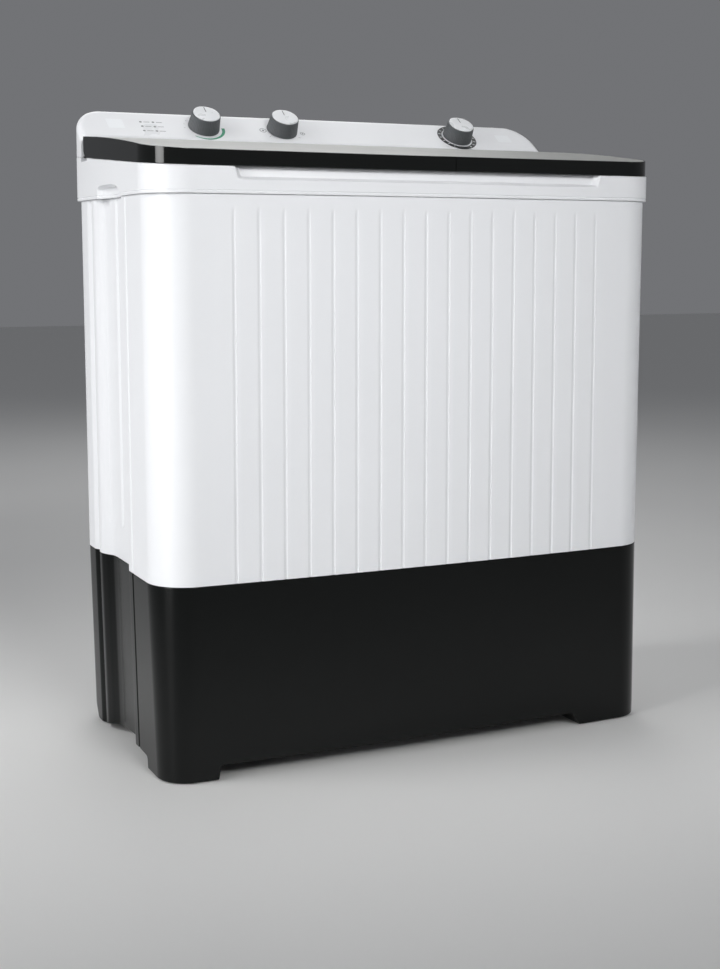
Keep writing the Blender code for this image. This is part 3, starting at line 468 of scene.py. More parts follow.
def grown(rect, amount):
    (x0, d0), (x1, d1) = rect
    return (x0 - amount, d0 - amount), (x1 + amount, d1 + amount)


# --- materials
def set_inputs(node, **values):
    for socket, value in values.items():
        node.inputs[socket.replace("_", " ")].default_value = value
    return node


def surface(name, color, roughness, metallic=0.0, specular=0.5, grain=(900.0, 0.05), cloud=(5.0, 0.05),
            tint=0.02, stretch=(1.0, 1.0, 1.0)):
    """A Principled material: fine grain in its bump, and slow changes in its colour and roughness."""
    made = bpy.data.materials.new(name)
    made.use_nodes = True
    nodes = made.node_tree.nodes
    link_up = made.node_tree.links.new
    shader = set_inputs(nodes["Principled BSDF"], Metallic=metallic, Specular_IOR_Level=specular)
    where = nodes.new("ShaderNodeTexCoord")
    mapping = set_inputs(nodes.new("ShaderNodeMapping"), Scale=stretch)
    link_up(where.outputs["Object"], mapping.inputs["Vector"])
    fine = set_inputs(nodes.new("ShaderNodeTexNoise"), Scale=grain[0], Detail=3.0)
    slow = set_inputs(nodes.new("ShaderNodeTexNoise"), Scale=cloud[0], Detail=5.0)
    for noise in (fine, slow):
        link_up(mapping.outputs["Vector"], noise.inputs["Vector"])
    bump = set_inputs(nodes.new("ShaderNodeBump"), Strength=grain[1], Distance=GRAIN_DEPTH)
    link_up(fine.outputs["Fac"], bump.inputs["Height"])
    link_up(bump.outputs["Normal"], shader.inputs["Normal"])
    spread = set_inputs(nodes.new("ShaderNodeMapRange"), From_Min=0.3, From_Max=0.7,
                        To_Min=max(roughness - cloud[1], 0.02), To_Max=roughness + cloud[1])
    link_up(slow.outputs["Fac"], spread.inputs["Value"])
    link_up(spread.outputs["Result"], shader.inputs["Roughness"])
    blend = nodes.new("ShaderNodeMix")
    blend.data_type = "RGBA"
    blend.inputs["A"].default_value = (*[c * (1 - tint) for c in color], 1.0)
    blend.inputs["B"].default_value = (*[min(c * (1 + tint), 1.0) for c in color], 1.0)
    link_up(slow.outputs["Fac"], blend.inputs["Factor"])
    link_up(blend.outputs["Result"], shader.inputs["Base Color"])
    return made


def make_finishes():
    """One finish for each of the record's material slots."""
    white = (0.8, 0.81, 0.83)
    steel = (0.56, 0.57, 0.58)
    finishes.update({
        "shell": surface("shell_white", white, 0.34, grain=(420.0, 0.035), cloud=(5.0, 0.02), tint=0.01),
        "deck": surface("deck_white", white, 0.34, grain=(520.0, 0.04), cloud=(5.0, 0.02), tint=0.01),
        "console": surface("console_white", white, 0.32, grain=(620.0, 0.05)),
        "base": surface("base_charcoal", (0.003, 0.0036, 0.0034), 0.15, specular=0.24, grain=(1500.0, 0.12),
                        tint=0.1),
        "foot": surface("foot_rubber", (0.018, 0.018, 0.018), 0.8, grain=(900.0, 0.3), tint=0.1),
        "back_cover": surface("cover_charcoal", (0.01, 0.011, 0.011), 0.5, grain=(900.0, 0.25), tint=0.08),
        "band": surface("band_black", (0.0042, 0.0048, 0.0044), 0.07, specular=0.42, grain=(160.0, 0.01),
                        cloud=(9.0, 0.02), tint=0.08),
        "lid": surface("lid_grey", (0.33, 0.335, 0.32), 0.4, grain=(1400.0, 0.1), tint=0.03),
        "knob": surface("knob_grey", (0.088, 0.094, 0.099), 0.42, grain=(1600.0, 0.15), tint=0.05),
        "knob_cap": surface("knob_cap_silver", (0.72, 0.735, 0.75), 0.3, metallic=0.15, grain=(1800.0, 0.1),
                            cloud=(60.0, 0.05)),
        "wash_tub": surface("tub_white", (0.7, 0.745, 0.79), 0.32, grain=(500.0, 0.05), cloud=(5.0, 0.015)),
        "spin_tub": surface("spin_tub_white", (0.68, 0.72, 0.76), 0.36, grain=(500.0, 0.06),
                            cloud=(5.0, 0.015)),
        "basket": surface("basket_white", (0.74, 0.77, 0.8), 0.3, grain=(500.0, 0.05), cloud=(5.0, 0.015)),
        "inner_cover": surface("cover_translucent", (0.62, 0.68, 0.74), 0.34, grain=(700.0, 0.05),
                               cloud=(5.0, 0.01), tint=0.01),
        "pins": surface("pin_steel", steel, 0.25, metallic=1.0, grain=(900.0, 0.1), stretch=(0.1, 1.0, 1.0)),
        "screws": surface("screw_steel", steel, 0.3, metallic=1.0, grain=(1500.0, 0.15), cloud=(200.0, 0.1)),
        "shafts": surface("shaft_steel", steel, 0.28, metallic=1.0, grain=(1200.0, 0.2),
                          stretch=(1.0, 1.0, 6.0)),
        "metalwork": surface("zinc_plate", (0.46, 0.47, 0.47), 0.38, metallic=1.0, grain=(300.0, 0.2),
                             cloud=(45.0, 0.12), tint=0.15),
        "motor": surface("motor_paint", (0.1, 0.105, 0.11), 0.45, metallic=0.6, grain=(700.0, 0.3),
                         tint=0.12),
        "rubber": surface("rubber_black", (0.016, 0.016, 0.017), 0.72, grain=(1200.0, 0.35), tint=0.12),
        "hose": surface("hose_grey", (0.27, 0.28, 0.29), 0.5, grain=(900.0, 0.2), tint=0.06),
        "spigot": surface("spigot_charcoal", (0.02, 0.021, 0.022), 0.45, grain=(1200.0, 0.2), tint=0.08),
        "capacitor": surface("capacitor_grey", (0.35, 0.36, 0.37), 0.42, grain=(800.0, 0.1), tint=0.05),
        "timers": surface("timer_casing", (0.24, 0.25, 0.26), 0.45, grain=(900.0, 0.15), tint=0.05),
        "print_green": surface("print_green", (0.012, 0.27, 0.145), 0.4, grain=(2000.0, 0.05)),
        "print_grey": surface("print_grey", (0.22, 0.23, 0.24), 0.45, grain=(2000.0, 0.05)),
        "print_pale": surface("print_pale", (0.85, 0.87, 0.89), 0.35, grain=(900.0, 0.02)),
        "print_dark": surface("print_dark", (0.03, 0.032, 0.034), 0.35, grain=(1500.0, 0.08)),
    })


# --- base and cabinet
def side_marks(fluted):
    knots = [(depth, push + FLUTES.get(i, 0.0) * fluted) for i, (depth, push) in enumerate(SIDE)]
    return curve_through(knots)


def base_section(inset, z):
    share = min((z - FOOT_H) / (JOINT_Z - FOOT_H), 1.0)
    half = BASE_HALF[0] + (BASE_HALF[1] - BASE_HALF[0]) * share
    corner = FOOT_CORNER + (FRONT_CORNER - FOOT_CORNER) * max(share, 0.0)
    low = PAD_TOP + GAP
    lean = max((FOOT_H - z) / (FOOT_H - low), 0.0)
    rear = BODY_REAR - 0.001 - (FOOT_TAPER - 0.001) * lean
    marks = [(0.27 * i / 12, 0.0) for i in range(-12, 13)]
    return raised(plan(half, BODY_FRONT, rear, marks, side_marks(0.0), inset, corner), z)


def base_shell():
    low = PAD_TOP + GAP
    top = JOINT_Z - GAP
    lip = 0.0036
    levels = [(0.0016, low), (0.0005, low + 0.0006), (0.0, low + 0.0018), (0.0, FOOT_H)]
    levels += [(0.0, FOOT_H + (top - FOOT_H) * i / 8) for i in range(1, 8)]
    levels += [(0.0, top - 0.0012), (0.0003, top - 0.0004), (0.001, top), (lip, top), (lip, top + 0.0075),
               (lip + 0.0005, top + 0.008), (2 * WALL, top + 0.008), (2 * WALL, top - 0.006),
               (WALL, top - 0.012), (WALL, FOOT_H + 0.004)]
    base = loft("base_shell", [base_section(*level) for level in levels])
    outline = [(-0.3325, -0.01), (-0.3275, FOOT_H - 0.004), (-0.324, FOOT_H - 0.0008), (-0.321, FOOT_H),
               (0.266, FOOT_H), (0.27, FOOT_H - 0.0008), (0.2735, FOOT_H - 0.004), (0.293, -0.01)]
    middle = loft("feet_cutter", [[place(x, depth, z) for x, z in outline] for depth in (-0.05, 0.45)])
    arch = [(0.089, -0.01), (0.0915, 0.0165), (0.0935, 0.0195), (0.098, 0.0206), (0.128, 0.0215),
            (0.167, 0.021), (0.205, 0.0195), (0.24, 0.0174), (0.27, 0.015), (0.3, 0.01),
            (0.316, 0.0062), (0.325, 0.003), (0.327, -0.01)]
    cut(base, middle, prism("arch_cutter", arch, -0.45, 0.45, "X"))
    vent = prism("vent_cutter", rounded_rect((-0.28, 0.09), (-0.08, 0.26), 0.006, 6), 0.0, 0.05)
    outlet = rods("outlet_cutter", [lengthways(*OUTLET, 0.38, 0.46)], 0.023, 64)
    gland = rods("gland_cutter", [lengthways(*GLAND, 0.38, 0.46)], 0.0085, 48)
    cut(base, vent, outlet, gland)
    stand_for(base, "base_housing", angle=30)


def rib_marks(depth):
    marks = []
    for k in range(RIB_COUNT):
        x = (k - (RIB_COUNT - 1) / 2) * RIB_PITCH
        marks += [(x + dx, depth * share) for dx, share in RIB_SHAPE]
        if k < RIB_COUNT - 1:
            marks += [(x + RIB_PITCH * t, 0.0) for t in (0.25, 0.5, 0.75)]
    return marks


def cabinet_section(z, ribs, fluted, inset=0.0):
    share = (z - JOINT_Z) / (DECK_Z - JOINT_Z)
    half = CABINET_HALF[0] + (CABINET_HALF[1] - CABINET_HALF[0]) * share
    marks = rib_marks(RIB_DEPTH * ribs)
    return raised(plan(half, BODY_FRONT, BODY_REAR, marks, side_marks(fluted), inset), z)


def cover_screws():
    (x0, x1), (z0, z1) = COVER_BOX
    edge = 0.007
    return [(x, z) for x in (x0 + edge, x1 - edge) for z in (z0 + edge, z1 - edge)]


def cabinet_shell():
    top = DECK_Z - GAP
    levels = [(JOINT_Z, 1, 0, 0.0009), (JOINT_Z + 0.0003, 1, 0, 0.0003), (JOINT_Z + 0.001, 1, 0, 0.0),
              (0.305, 1, 0, 0), (0.325, 1, 0, 0), (0.332, 1, 0.02, 0)]
    levels += [(0.335 + 0.0025 * i, 1, ease(i / 6), 0) for i in range(1, 7)]
    levels += [(0.355, 1, 1, 0)] + [(0.4 + 0.067 * i, 1, 1, 0) for i in range(6)]
    levels += [(RIB_TOP_Z - 0.004 + 0.002 * i, ease(1 - i / 8), 1, 0) for i in range(9)]
    levels += [(0.83, 0, 1, 0), (top, 0, 1, 0), (top, 0, 0, WALL), (JOINT_Z, 0, 0, WALL)]
    shell = loft("cabinet_shell", [cabinet_section(*level) for level in levels], capped=False)
    (x0, x1), (z0, z1) = COVER_BOX
    rim = 0.015
    cut(shell, box("window_cutter", (x0 + rim, 0.39, z0 + rim), (x1 - rim, 0.44, z1 - rim)))
    screws = [lengthways(x, z, 0.4, 0.44) for x, z in cover_screws()]
    inlets = [lengthways(x, INLET_Z, 0.39, 0.45) for x in (PULSATOR[0], SPIN[0])]
    drill(shell, screws, 0.0022, 24)
    drill(shell, inlets, 0.0135, 48)
    stand_for(shell, "cabinet", angle=30)


def back_cover():
    """The rear cover: a pressed plate with a raised border, slots and its screws."""
    (x0, x1), (z0, z1) = COVER_BOX
    low = BODY_REAR + GAP
    high = low + 0.002

    def layer(inset, depth, radius):
        flat = rounded_rect((x0 + inset, z0 + inset), (x1 - inset, z1 - inset), radius, 8)
        return [place(x, depth, z) for x, z in flat]

    plate = loft("rear_cover_plate", [
        layer(0.0, low, 0.004), layer(0.0, high - 0.0006, 0.004), layer(0.0006, high, 0.0036),
        layer(0.016, high, 0.01), layer(0.018, high - 0.0009, 0.009), layer(0.022, high - 0.0009, 0.008),
    ])
    holes = [lengthways(x, z, 0.4, 0.44) for x, z in cover_screws()]
    drill(plate, holes, 0.0022, 24)
    for i in range(6):
        z = 0.4 + 0.014 * i
        flat = rounded_rect((-0.09, z), (0.09, z + 0.005), 0.0024, 6)
        ends = [[place(x, depth, h) for x, h in flat] for depth in (0.4, 0.44)]
        cut(plate, loft("slot_cutter", ends))
    stand_for(plate, "back_cover", angle=30)
    for i, (x, z) in enumerate(cover_screws()):
        head = high + GAP
        profile = [(0.0, 0.002), (0.0012, 0.002), (0.0024, 0.0018), (0.0034, 0.0013), (0.004, 0.0006),
                   (0.0042, 0.0), (0.0018, 0.0), (0.0018, -0.01), (0.0, -0.011)]
        screw = lathe(f"screw_{i + 1}", profile, place(x, head, z), 48, "Y", closed=False)
        for turn in (0, 90):
            slot = box("cross_cutter", (x - 0.0024, head + 0.0009, z - 0.0004),
                       (x + 0.0024, head + 0.004, z + 0.0004))
            middle = place(x, head, z)
            spin = Matrix.Translation(middle) @ Matrix.Rotation(math.radians(turn + 30 * i), 4, "Y")
            slot.data.transform(spin @ Matrix.Translation(-middle))
            cut(screw, slot)
        stand_for(screw, f"back_screw_{i + 1}")


# --- deck
def arch_top(depth):
    """Height of the side scoop's round top at a depth."""
    u = (depth - 0.208) / 0.06
    u = min(max(u, -1.0), 1.0)
    power = 2.4 if u < 0 else 5.0
    return DECK_Z + 0.017 * (1.0 - abs(u) ** power) ** (1.0 / power)


def deck_section(inset, z, scoop=0.0, arch=True, half=SCOOP_HALF):
    front = []
    for side in (-1, 1):
        end = half if side > 0 else half - 0.006
        edge = [(side * (end + 0.005 - 0.01 * t), scoop * ease(t)) for t in (0, 0.2, 0.4, 0.6, 0.8, 1.0)]
        outer = [(side * 0.345, 0.0), (side * 0.325, 0.0)]
        front.append(outer + edge)
    middle = [(0.27 * i / 12, scoop) for i in range(-12, 13)]
    front = front[0] + middle + list(reversed(front[1]))
    level = z if not callable(z) else 1.0
    sides = []
    for depth, push in curve_through(DECK_SIDE, 0.0015):
        fade = ease((arch_top(depth) - level) / 0.0045 + 0.5) if arch else 0.0
        sides.append((depth, push * fade))
    return raised(plan(DECK_HALF, DECK_FRONT, DECK_REAR, front, sides, inset), z)


def hinge_spans():
    """X ranges of the deck's hinge posts and of the lids' lugs beside them, for each lid."""
    outer = DECK_HALF - LID_INSET - BAND - GAP - WALL - 0.002
    inner = LID_SEAM + 0.0055
    post = 0.008
    lug = 0.005
    step = 0.0009
    spans = {"wash": [], "spin": []}
    for name, side, start in (("wash", 1, -outer), ("wash", -1, 2 * LID_SEAM - inner),
                              ("spin", 1, inner), ("spin", -1, outer)):
        post_end = start + side * post
        lug_start = post_end + side * step
        lug_end = lug_start + side * lug
        spans[name].append((tuple(sorted((start, post_end))), tuple(sorted((lug_start, lug_end)))))
    return spans


def post_outline():
    depth, z = HINGE
    foot = CHANNEL[2] - 0.002
    return [(depth + 0.006, foot)] + arc(depth, z, 0.006, 0, 180, 18) + [(depth - 0.006, foot)]


def cover_axis_z():
    return deck_top(COVER_HINGE) + 0.0055


def deck_rim():
    ledge = 0.0135
    levels = [(WALL, deck_under, SCOOP_DEPTH, False), (WALL, SCOOP_Z + 0.0025, 0.01, False),
              (WALL, SCOOP_Z - 0.0035), (WALL, 0.851), (WALL, DECK_Z + WALL), (ledge, DECK_Z + WALL),
              (ledge, DECK_Z), (0.0009, DECK_Z), (0.0003, DECK_Z + 0.0003), (0.0, DECK_Z + 0.001),
              (0.0, 0.8425), (0.0, 0.843), (0.0007, 0.8436), (0.0007, 0.8441), (0.0, 0.8447)]
    levels += [(0.0, 0.8455 + 0.0008 * i) for i in range(16)]
    for t in (0.0, 0.15, 0.35, 0.55, 0.75, 0.9, 1.0):
        levels.append((0.0, SCOOP_Z + 0.0055 * t, 0.01 * ease(t * 0.9 + 0.1 * t * t)))
    for t in (0.3, 0.6, 0.85):
        z = SCOOP_Z + 0.0055 + 0.0135 * t
        levels.append((0.0, z, 0.01 + 0.002 * t, True, SCOOP_HALF + 0.004 * t))
    levels.append((0.0, lambda depth: deck_top(depth) - 0.0008, SCOOP_DEPTH, False, SCOOP_HALF + 0.005))
    levels.append((0.0008, deck_top, SCOOP_DEPTH, False, SCOOP_HALF + 0.005))
    sections = [deck_section(*level) for level in levels]
    deck = loft("deck_rim", sections)
    cut(deck, prism("wash_cutter", rounded_rect(*WASH_OPENING, 0.045), 0.84, 0.95))
    drill(deck, [upright(SPIN, 0.84, 0.95)], SPIN_OPENING_R, 96)
    cut(deck, box("channel_cutter", (-0.43, CHANNEL[0], CHANNEL[2]), (0.43, CHANNEL[1], 0.95)))
    for spans in hinge_spans().values():
        for (x0, x1), _ in spans:
            join(deck, prism("post_tool", post_outline(), x0, x1, "X"))
    for x in (0.107, 0.349):
        join(deck, box("cover_post_tool", (x, COVER_HINGE - 0.005, 0.897),
                       (x + 0.006, COVER_HINGE + 0.005, cover_axis_z() + 0.005)))
    drill(deck, [across(*HINGE, -0.418, 0.418)], PIN_BORE)
    drill(deck, [across(COVER_HINGE, cover_axis_z(), 0.1, 0.36)], 0.0023)
    stand_for(deck, "top_deck", angle=30)


# --- console and knobs
def face_height(depth):
    return CONSOLE_PEAK[1] - (CONSOLE_PEAK[0] - depth) * math.tan(CONSOLE_SLOPE)


def face_point(x, lift, up=0.0):
    """A point of the console's face at x, up along its slope from the knobs' line, and lift above it."""
    base = place(x, KNOB_DEPTH, face_height(KNOB_DEPTH))
    slope = Vector((0, math.cos(CONSOLE_SLOPE), math.sin(CONSOLE_SLOPE)))
    return base + up * slope + lift * Vector((0, -math.sin(CONSOLE_SLOPE), math.cos(CONSOLE_SLOPE)))


def console_plan(inset):
    half = DECK_HALF - CONSOLE_INSET - inset
    rear = DECK_REAR - CONSOLE_INSET - inset
    radius = CONSOLE_CORNER - inset
    front = CONSOLE_FRONT + 0.25 * inset
    edge = 0.001
    points = [(-half, front + edge), (-half + 0.3 * edge, front + 0.3 * edge), (-half + edge, front)]
    points += [(-0.36 + 0.09 * i, front) for i in range(9)]
    points += [(half - edge, front), (half - 0.3 * edge, front + 0.3 * edge), (half, front + edge)]
    points += arc(half - radius, rear - radius, radius, 0, 90, CORNER_STEPS)
    points += arc(-half + radius, rear - radius, radius, 90, 180, CORNER_STEPS)
    return points


def console_level(inset, drop):
    return raised(console_plan(inset), lambda depth: face_height(depth) - drop)


def console_shell():
    skin = 0.0025
    levels = [raised(console_plan(0.0008), lambda depth: deck_top(depth) + GAP),
              raised(console_plan(0.0), lambda depth: deck_top(depth) + GAP + 0.001)]
    for i in range(0, 11):
        angle = math.radians(9.0 * i)
        inset, drop = (CONSOLE_ROUND * (1 - share) for share in (math.cos(angle), math.sin(angle)))
        levels.append(console_level(inset, drop))
    levels += [console_level(CONSOLE_ROUND + more, 0.0) for more in (0.001, 0.003)]
    console = loft("console_shell", levels)
    hollow = loft("hollow_cutter", [
        raised(console_plan(skin), 0.89), console_level(skin, 0.016), console_level(skin + 0.008, 0.0036),
    ])
    cut(console, hollow)
    holes = [(face_point(x, -0.012), face_point(x, 0.01)) for x in KNOB_X.values()]
    drill(console, holes, 0.0048, 32)
    stand_for(console, "control_console", angle=30)


def knob_shape(angle, radius, height):
    """Fine flutes round a knob's side."""
    if radius < 0.02 or height > KNOB_H - 0.0015 or height < 0.0012:
        return radius
    return radius - 0.0004 * (0.5 + 0.5 * math.cos(48 * angle))


def knobs():
    for name, x in KNOB_X.items():
        low, high = KNOB_R
        side = [(high + (low - high) * t, KNOB_H - 0.0022 - (KNOB_H - 0.004) * t) for t in
                (0, 0.2, 0.4, 0.6, 0.8, 1.0)]
        profile = [(0.0, KNOB_H - 0.0002), (high - 0.0026, KNOB_H - 0.0002), (high - 0.0018, KNOB_H),
                   (high - 0.0009, KNOB_H - 0.0001), (high - 0.0003, KNOB_H - 0.0005),
                   (high, KNOB_H - 0.0014)]
        profile += side + [(low, 0.0012), (low - 0.0006, 0.0008), (0.0035, 0.0008), (0.0035, -0.003),
                           (0.0, -0.003)]
        knob = lathe(name + "_grip", profile, face_point(x, 0.0), 384, "FACE", False, knob_shape)
        stand_for(knob, name + "_knob")
        top = KNOB_H + GAP + CAP_H
        cap = [(0.0, top), (high - 0.0032, top), (high - 0.0024, top - 0.0001), (high - 0.0017, top - 0.0005),
               (high - 0.0014, top - 0.001), (high - 0.0014, KNOB_H + GAP), (0.0, KNOB_H + GAP)]
        disc = lathe(name + "_disc", cap, face_point(x, 0.0), 96, "FACE", False)
        stand_for(disc, name + "_knob_cap")
        body = name + "_dial"
        line = [(-0.0006, 0.005), (0.0006, 0.005), (0.0006, 0.0185), (-0.0006, 0.0185)]
        pointer = patch(name + "_pointer", line, x, 0.0, top + 0.00002)
        add_on(pointer, body, finishes["print_dark"])


def patch(name, outline, x, up, lift=INK_LIFT):
    """A thin inlay on the console's face, from right and up pairs about a point of the face."""
    ends = [[face_point(x + dx, lift + extra, up + dy) for dx, dy in outline] for extra in (0.0, INK)]
    return loft(name, ends)


def ring_patch(name, x, up, outer, inner, start, end):
    """A thin arc or ring on the console's face; angles in degrees from the right, anticlockwise."""
    steps = max(4, int(abs(end - start) / 4))
    whole = abs(end - start) >= 360
    bm = bmesh.new()
    rows = []
    for i in range(steps if whole else steps + 1):
        angle = math.radians(start + (end - start) * i / steps)
        far, near = (r(i / steps) if callable(r) else r for r in (outer, inner))
        row = []
        for radius, more in ((far, 0.0), (far, INK), (near, INK), (near, 0.0)):
            lift = INK_LIFT + more
            spot = face_point(x + radius * math.cos(angle), lift, up + radius * math.sin(angle))
            row.append(bm.verts.new(spot))
        rows.append(row)
    return skinned(name, bm, rows, not whole)


def merge(name, pieces):
    """Several meshes as one object."""
    bm = bmesh.new()
    for piece in pieces:
        bm.from_mesh(piece.data)
        bpy.data.objects.remove(piece, do_unlink=True)
    mesh = bpy.data.meshes.new(name)
    bm.to_mesh(mesh)
    bm.free()
    return link(name, mesh)


def tick_marks(x, radius, length, width, angles):
    ticks = []
    for angle in angles:
        a = math.radians(angle)
        along = Vector((math.cos(a), math.sin(a)))
        side = Vector((-along.y, along.x)) * width / 2
        ends = (along * radius - side, along * radius + side, along * (radius + length) + side,
                along * (radius + length) - side)
        ticks.append(patch("tick", [tuple(p) for p in ends], x, 0.0))
    return ticks


def bar(x, up, width, height):
    return patch("bar", [(0, 0), (width, 0), (width, height), (0, height)], x, up)


def prints():
    """Generic dial rings, ticks and small marks printed on the console. They hold no lettering."""
    x = KNOB_X["wash_timer"]
    green = ring_patch("arc", x, 0.0, lambda t: 0.0325 + 0.004 * t, lambda t: 0.0313 - 0.0004 * t, -130, 2)
    marks = {"print_green": [green], "print_grey": [], "print_pale": [], "print_dark": []}
    grey = marks["print_grey"]
    grey += tick_marks(x, 0.0312, 0.0022, 0.0005, range(0, 181, 20))
    x = KNOB_X["selector"]
    grey += tick_marks(x, 0.0305, 0.0035, 0.0007, (-35, 90, 215))
    for offset, up, radius in ((-0.0335, 0.0, 0.006), (0.036, -0.006, 0.0044)):
        grey.append(ring_patch("icon", x + offset, up, radius, 0.8 * radius, 0, 360))
        grey.append(ring_patch("icon", x + offset, up, 0.36 * radius, 0.0002, 0, 360))
    x = KNOB_X["spin_timer"]
    marks["print_dark"].append(ring_patch("bezel", x, 0.0, 0.0362, 0.0285, 0, 360))
    pale = marks["print_pale"]
    above = Matrix.Translation(0.00013 * Vector((0, -math.sin(CONSOLE_SLOPE), math.cos(CONSOLE_SLOPE))))
    for tick in tick_marks(x, 0.03, 0.0042, 0.0012, range(-60, 241, 20)):
        tick.data.transform(above)
        pale.append(tick)
    for left, width, height in ((-0.37, 0.027, 0.027), (0.345, 0.028, 0.022)):
        outline = rounded_rect((0.0, 0.0), (width, height), 0.002, 4)
        pale.append(patch("label", outline, left, -0.009))
    for left in (-0.313, -0.292):
        for row in range(3):
            up = 0.012 - 0.013 * row
            grey.append(ring_patch("icon", left, up, 0.0022, 0.0002, 0, 360))
            grey.append(bar(left + 0.005, up - 0.0006, 0.01, 0.0012))
    for name, pieces in marks.items():
        made = merge(name.replace("print", "console_print"), pieces)
        add_on(made, "housing", finishes[name])


# --- lids
def seat(depth):
    return deck_top(depth) + 0.0006


def band_foot(depth):
    """Height of the band's lower edge, which rises at its rear end."""
    start = LID_REAR - 0.01
    if depth <= start:
        return seat(depth)
    return seat(start) + (LID_HEEL_Z - seat(start)) * (depth - start) / 0.01


def lid_path(name):
    """Outer face of a lid in plan, from its rear outer corner to the seam, with the way inwards."""
    half = DECK_HALF - LID_INSET
    front = DECK_FRONT + LID_INSET
    start = half - FRONT_CORNER
    path = [(half, LID_REAR + (front + FRONT_CORNER - LID_REAR) * i / 32, -1.0, 0.0) for i in range(33)]
    for i in range(1, 41):
        angle = math.radians(-90.0 * i / 40)
        cosine = math.cos(angle)
        sine = math.sin(angle)
        depth = front + FRONT_CORNER + FRONT_CORNER * sine
        path.append((start + FRONT_CORNER * cosine, depth, -cosine, -sine))
    end = LID_SEAM + 0.0005 if name == "spin" else -LID_SEAM + 0.0005
    for i in range(1, 49):
        x = start + (end - start) * i / 48
        path.append((x, front - bowed(x, DECK_HALF) * ease((start - x) / 0.03), 0.0, 1.0))
    if name == "wash":
        path = [(-x, depth, -dx, dy) for x, depth, dx, dy in path]
    return path


def lid_band(name):
    """The glossy band: a wall swept round the lid's outer face, with rounded edges."""
    edge = 0.0007
    profile = [(0.0, 0, edge), (0.00021, 0, 0.0002), (edge, 0, 0.0), (BAND - edge, 0, 0.0), (BAND, 0, edge),
               (BAND, 1, -edge), (BAND - 0.0002, 1, -0.0002), (BAND - edge, 1, 0.0), (edge, 1, 0.0),
               (0.0002, 1, -0.0002), (0.0, 1, -edge)]
    sections = []
    for x, depth, dx, dy in lid_path(name):
        section = []
        for inward, top, rise in profile:
            px = x + dx * inward
            pd = depth + dy * inward
            level = lid_top(pd) if top else band_foot(pd)
            section.append(place(px, pd, level + rise))
        sections.append(section)
    band = loft(name + "_band_gloss", sections)
    stand_for(band, name + "_lid_band", angle=40)


def lid_outline(name, inset, reach):
    half = DECK_HALF - LID_INSET
    front = DECK_FRONT + LID_INSET
    radius = FRONT_CORNER - inset
    corner = arc(half - FRONT_CORNER, front + FRONT_CORNER, radius, -90, 0, 32)
    if name == "wash":
        seam = LID_SEAM - 0.0005 + reach
        corner = [(-x, depth) for x, depth in reversed(corner)]
        stops = [-0.34 + (seam + 0.34) * i / 24 for i in range(25)]
    else:
        seam = LID_SEAM + 0.0005 - reach
        stops = [seam + (0.34 - seam) * i / 20 for i in range(21)]
    front_points = [(x, front + inset - bowed(x, DECK_HALF)) for x in stops]
    rear = LID_REAR + reach
    if name == "wash":
        return [(-half + inset, rear)] + corner + front_points + [(seam, rear)]
    return [(seam, rear)] + front_points + corner + [(half - inset, rear)]


def lid_profile(drop, floor, rear=LID_REAR, chamfer=True):
    depths = [-0.03 + (rear + 0.03) * i / 24 for i in range(25)]
    top = [(depth, lid_top(depth) - drop) for depth in depths]
    if chamfer:
        bottom = [(rear, LID_HEEL_Z), (rear - 0.01, floor(rear - 0.01)), (-0.03, floor(-0.03))]
    else:
        bottom = [(rear, floor(rear)), (-0.03, floor(-0.03))]
    return list(reversed(top)) + [bottom[-1]] + list(reversed(bottom[:-1]))


def lug_outline():
    depth, z = HINGE
    front, rear = depth - 0.0065, depth + 0.0065
    end = arc(depth, z, 0.0065, 180, 360, 18)
    return end + [(rear, lid_top(rear) - 0.0015), (front, lid_top(front) - 0.0015)]


def lid_panel(name, x0, x1):
    panel = prism(name + "_lid_skin", lid_profile(0.0, seat), x0, x1, "X")
    keep(panel, prism("plan_tool", lid_outline(name, BAND + GAP, 0.0), 0.86, 0.96))
    inside = lid_profile(WALL, lambda depth: 0.85, LID_REAR + 0.02, False)
    hollow = prism("hollow_cutter", inside, x0, x1, "X")
    rear_row = LID_REAR - WALL
    inner = lid_outline(name, BAND + GAP + WALL, -WALL)
    open_rear = [(x, depth + 0.02 if abs(depth - rear_row) < 1e-6 else depth) for x, depth in inner]
    keep(hollow, prism("hollow_plan_tool", open_rear, 0.84, 0.97))
    cut(panel, hollow)
    for _, (lug0, lug1) in hinge_spans()[name]:
        join(panel, prism("lug_tool", lug_outline(), lug0, lug1, "X"))
    drill(panel, [across(*HINGE, x0 + 0.012, x1 - 0.006)], PIN_BORE)
    stand_for(panel, name + "_lid_panel", 0.0005, 40)


def lids():
    for name, x0, x1 in (("wash", -0.4205, LID_SEAM), ("spin", LID_SEAM - 0.006, 0.4265)):
        lid_panel(name, x0, x1)
        lid_band(name)


def inner_cover():
    """The spin tub's inner cover: a rounded plate with raised rings and its hinge barrel."""
    rect = ((0.1145, 0.03), (0.3475, 0.304))
    levels = ((0.0008, 0.0008), (0.0, 0.0016), (0.0, 0.0038), (0.0004, 0.0045), (0.0012, 0.0048),
              (0.006, 0.0048),
              (0.0068, 0.0045), (0.0075, 0.004), (0.05, 0.004), (0.051, 0.0046), (0.055, 0.0046),
              (0.056, 0.004), (0.07, 0.004))
    sections = []
    for inset, lift in levels:
        corner = max(0.03 - inset, 0.006)
        flat = rounded_rect(*grown(rect, -inset), corner)
        sections.append([place(x, depth, deck_top(depth) + lift) for x, depth in flat])
    cover = loft("cover_plate", sections)
    axis = cover_axis_z()
    join(cover, rods("barrel_tool", [across(COVER_HINGE, axis, 0.1145, 0.3475)], 0.0042, 40))
    join(cover, rods("stub_tool", [across(COVER_HINGE, axis, 0.1085, 0.3535)], 0.002))
    stand_for(cover, "spin_inner_cover")


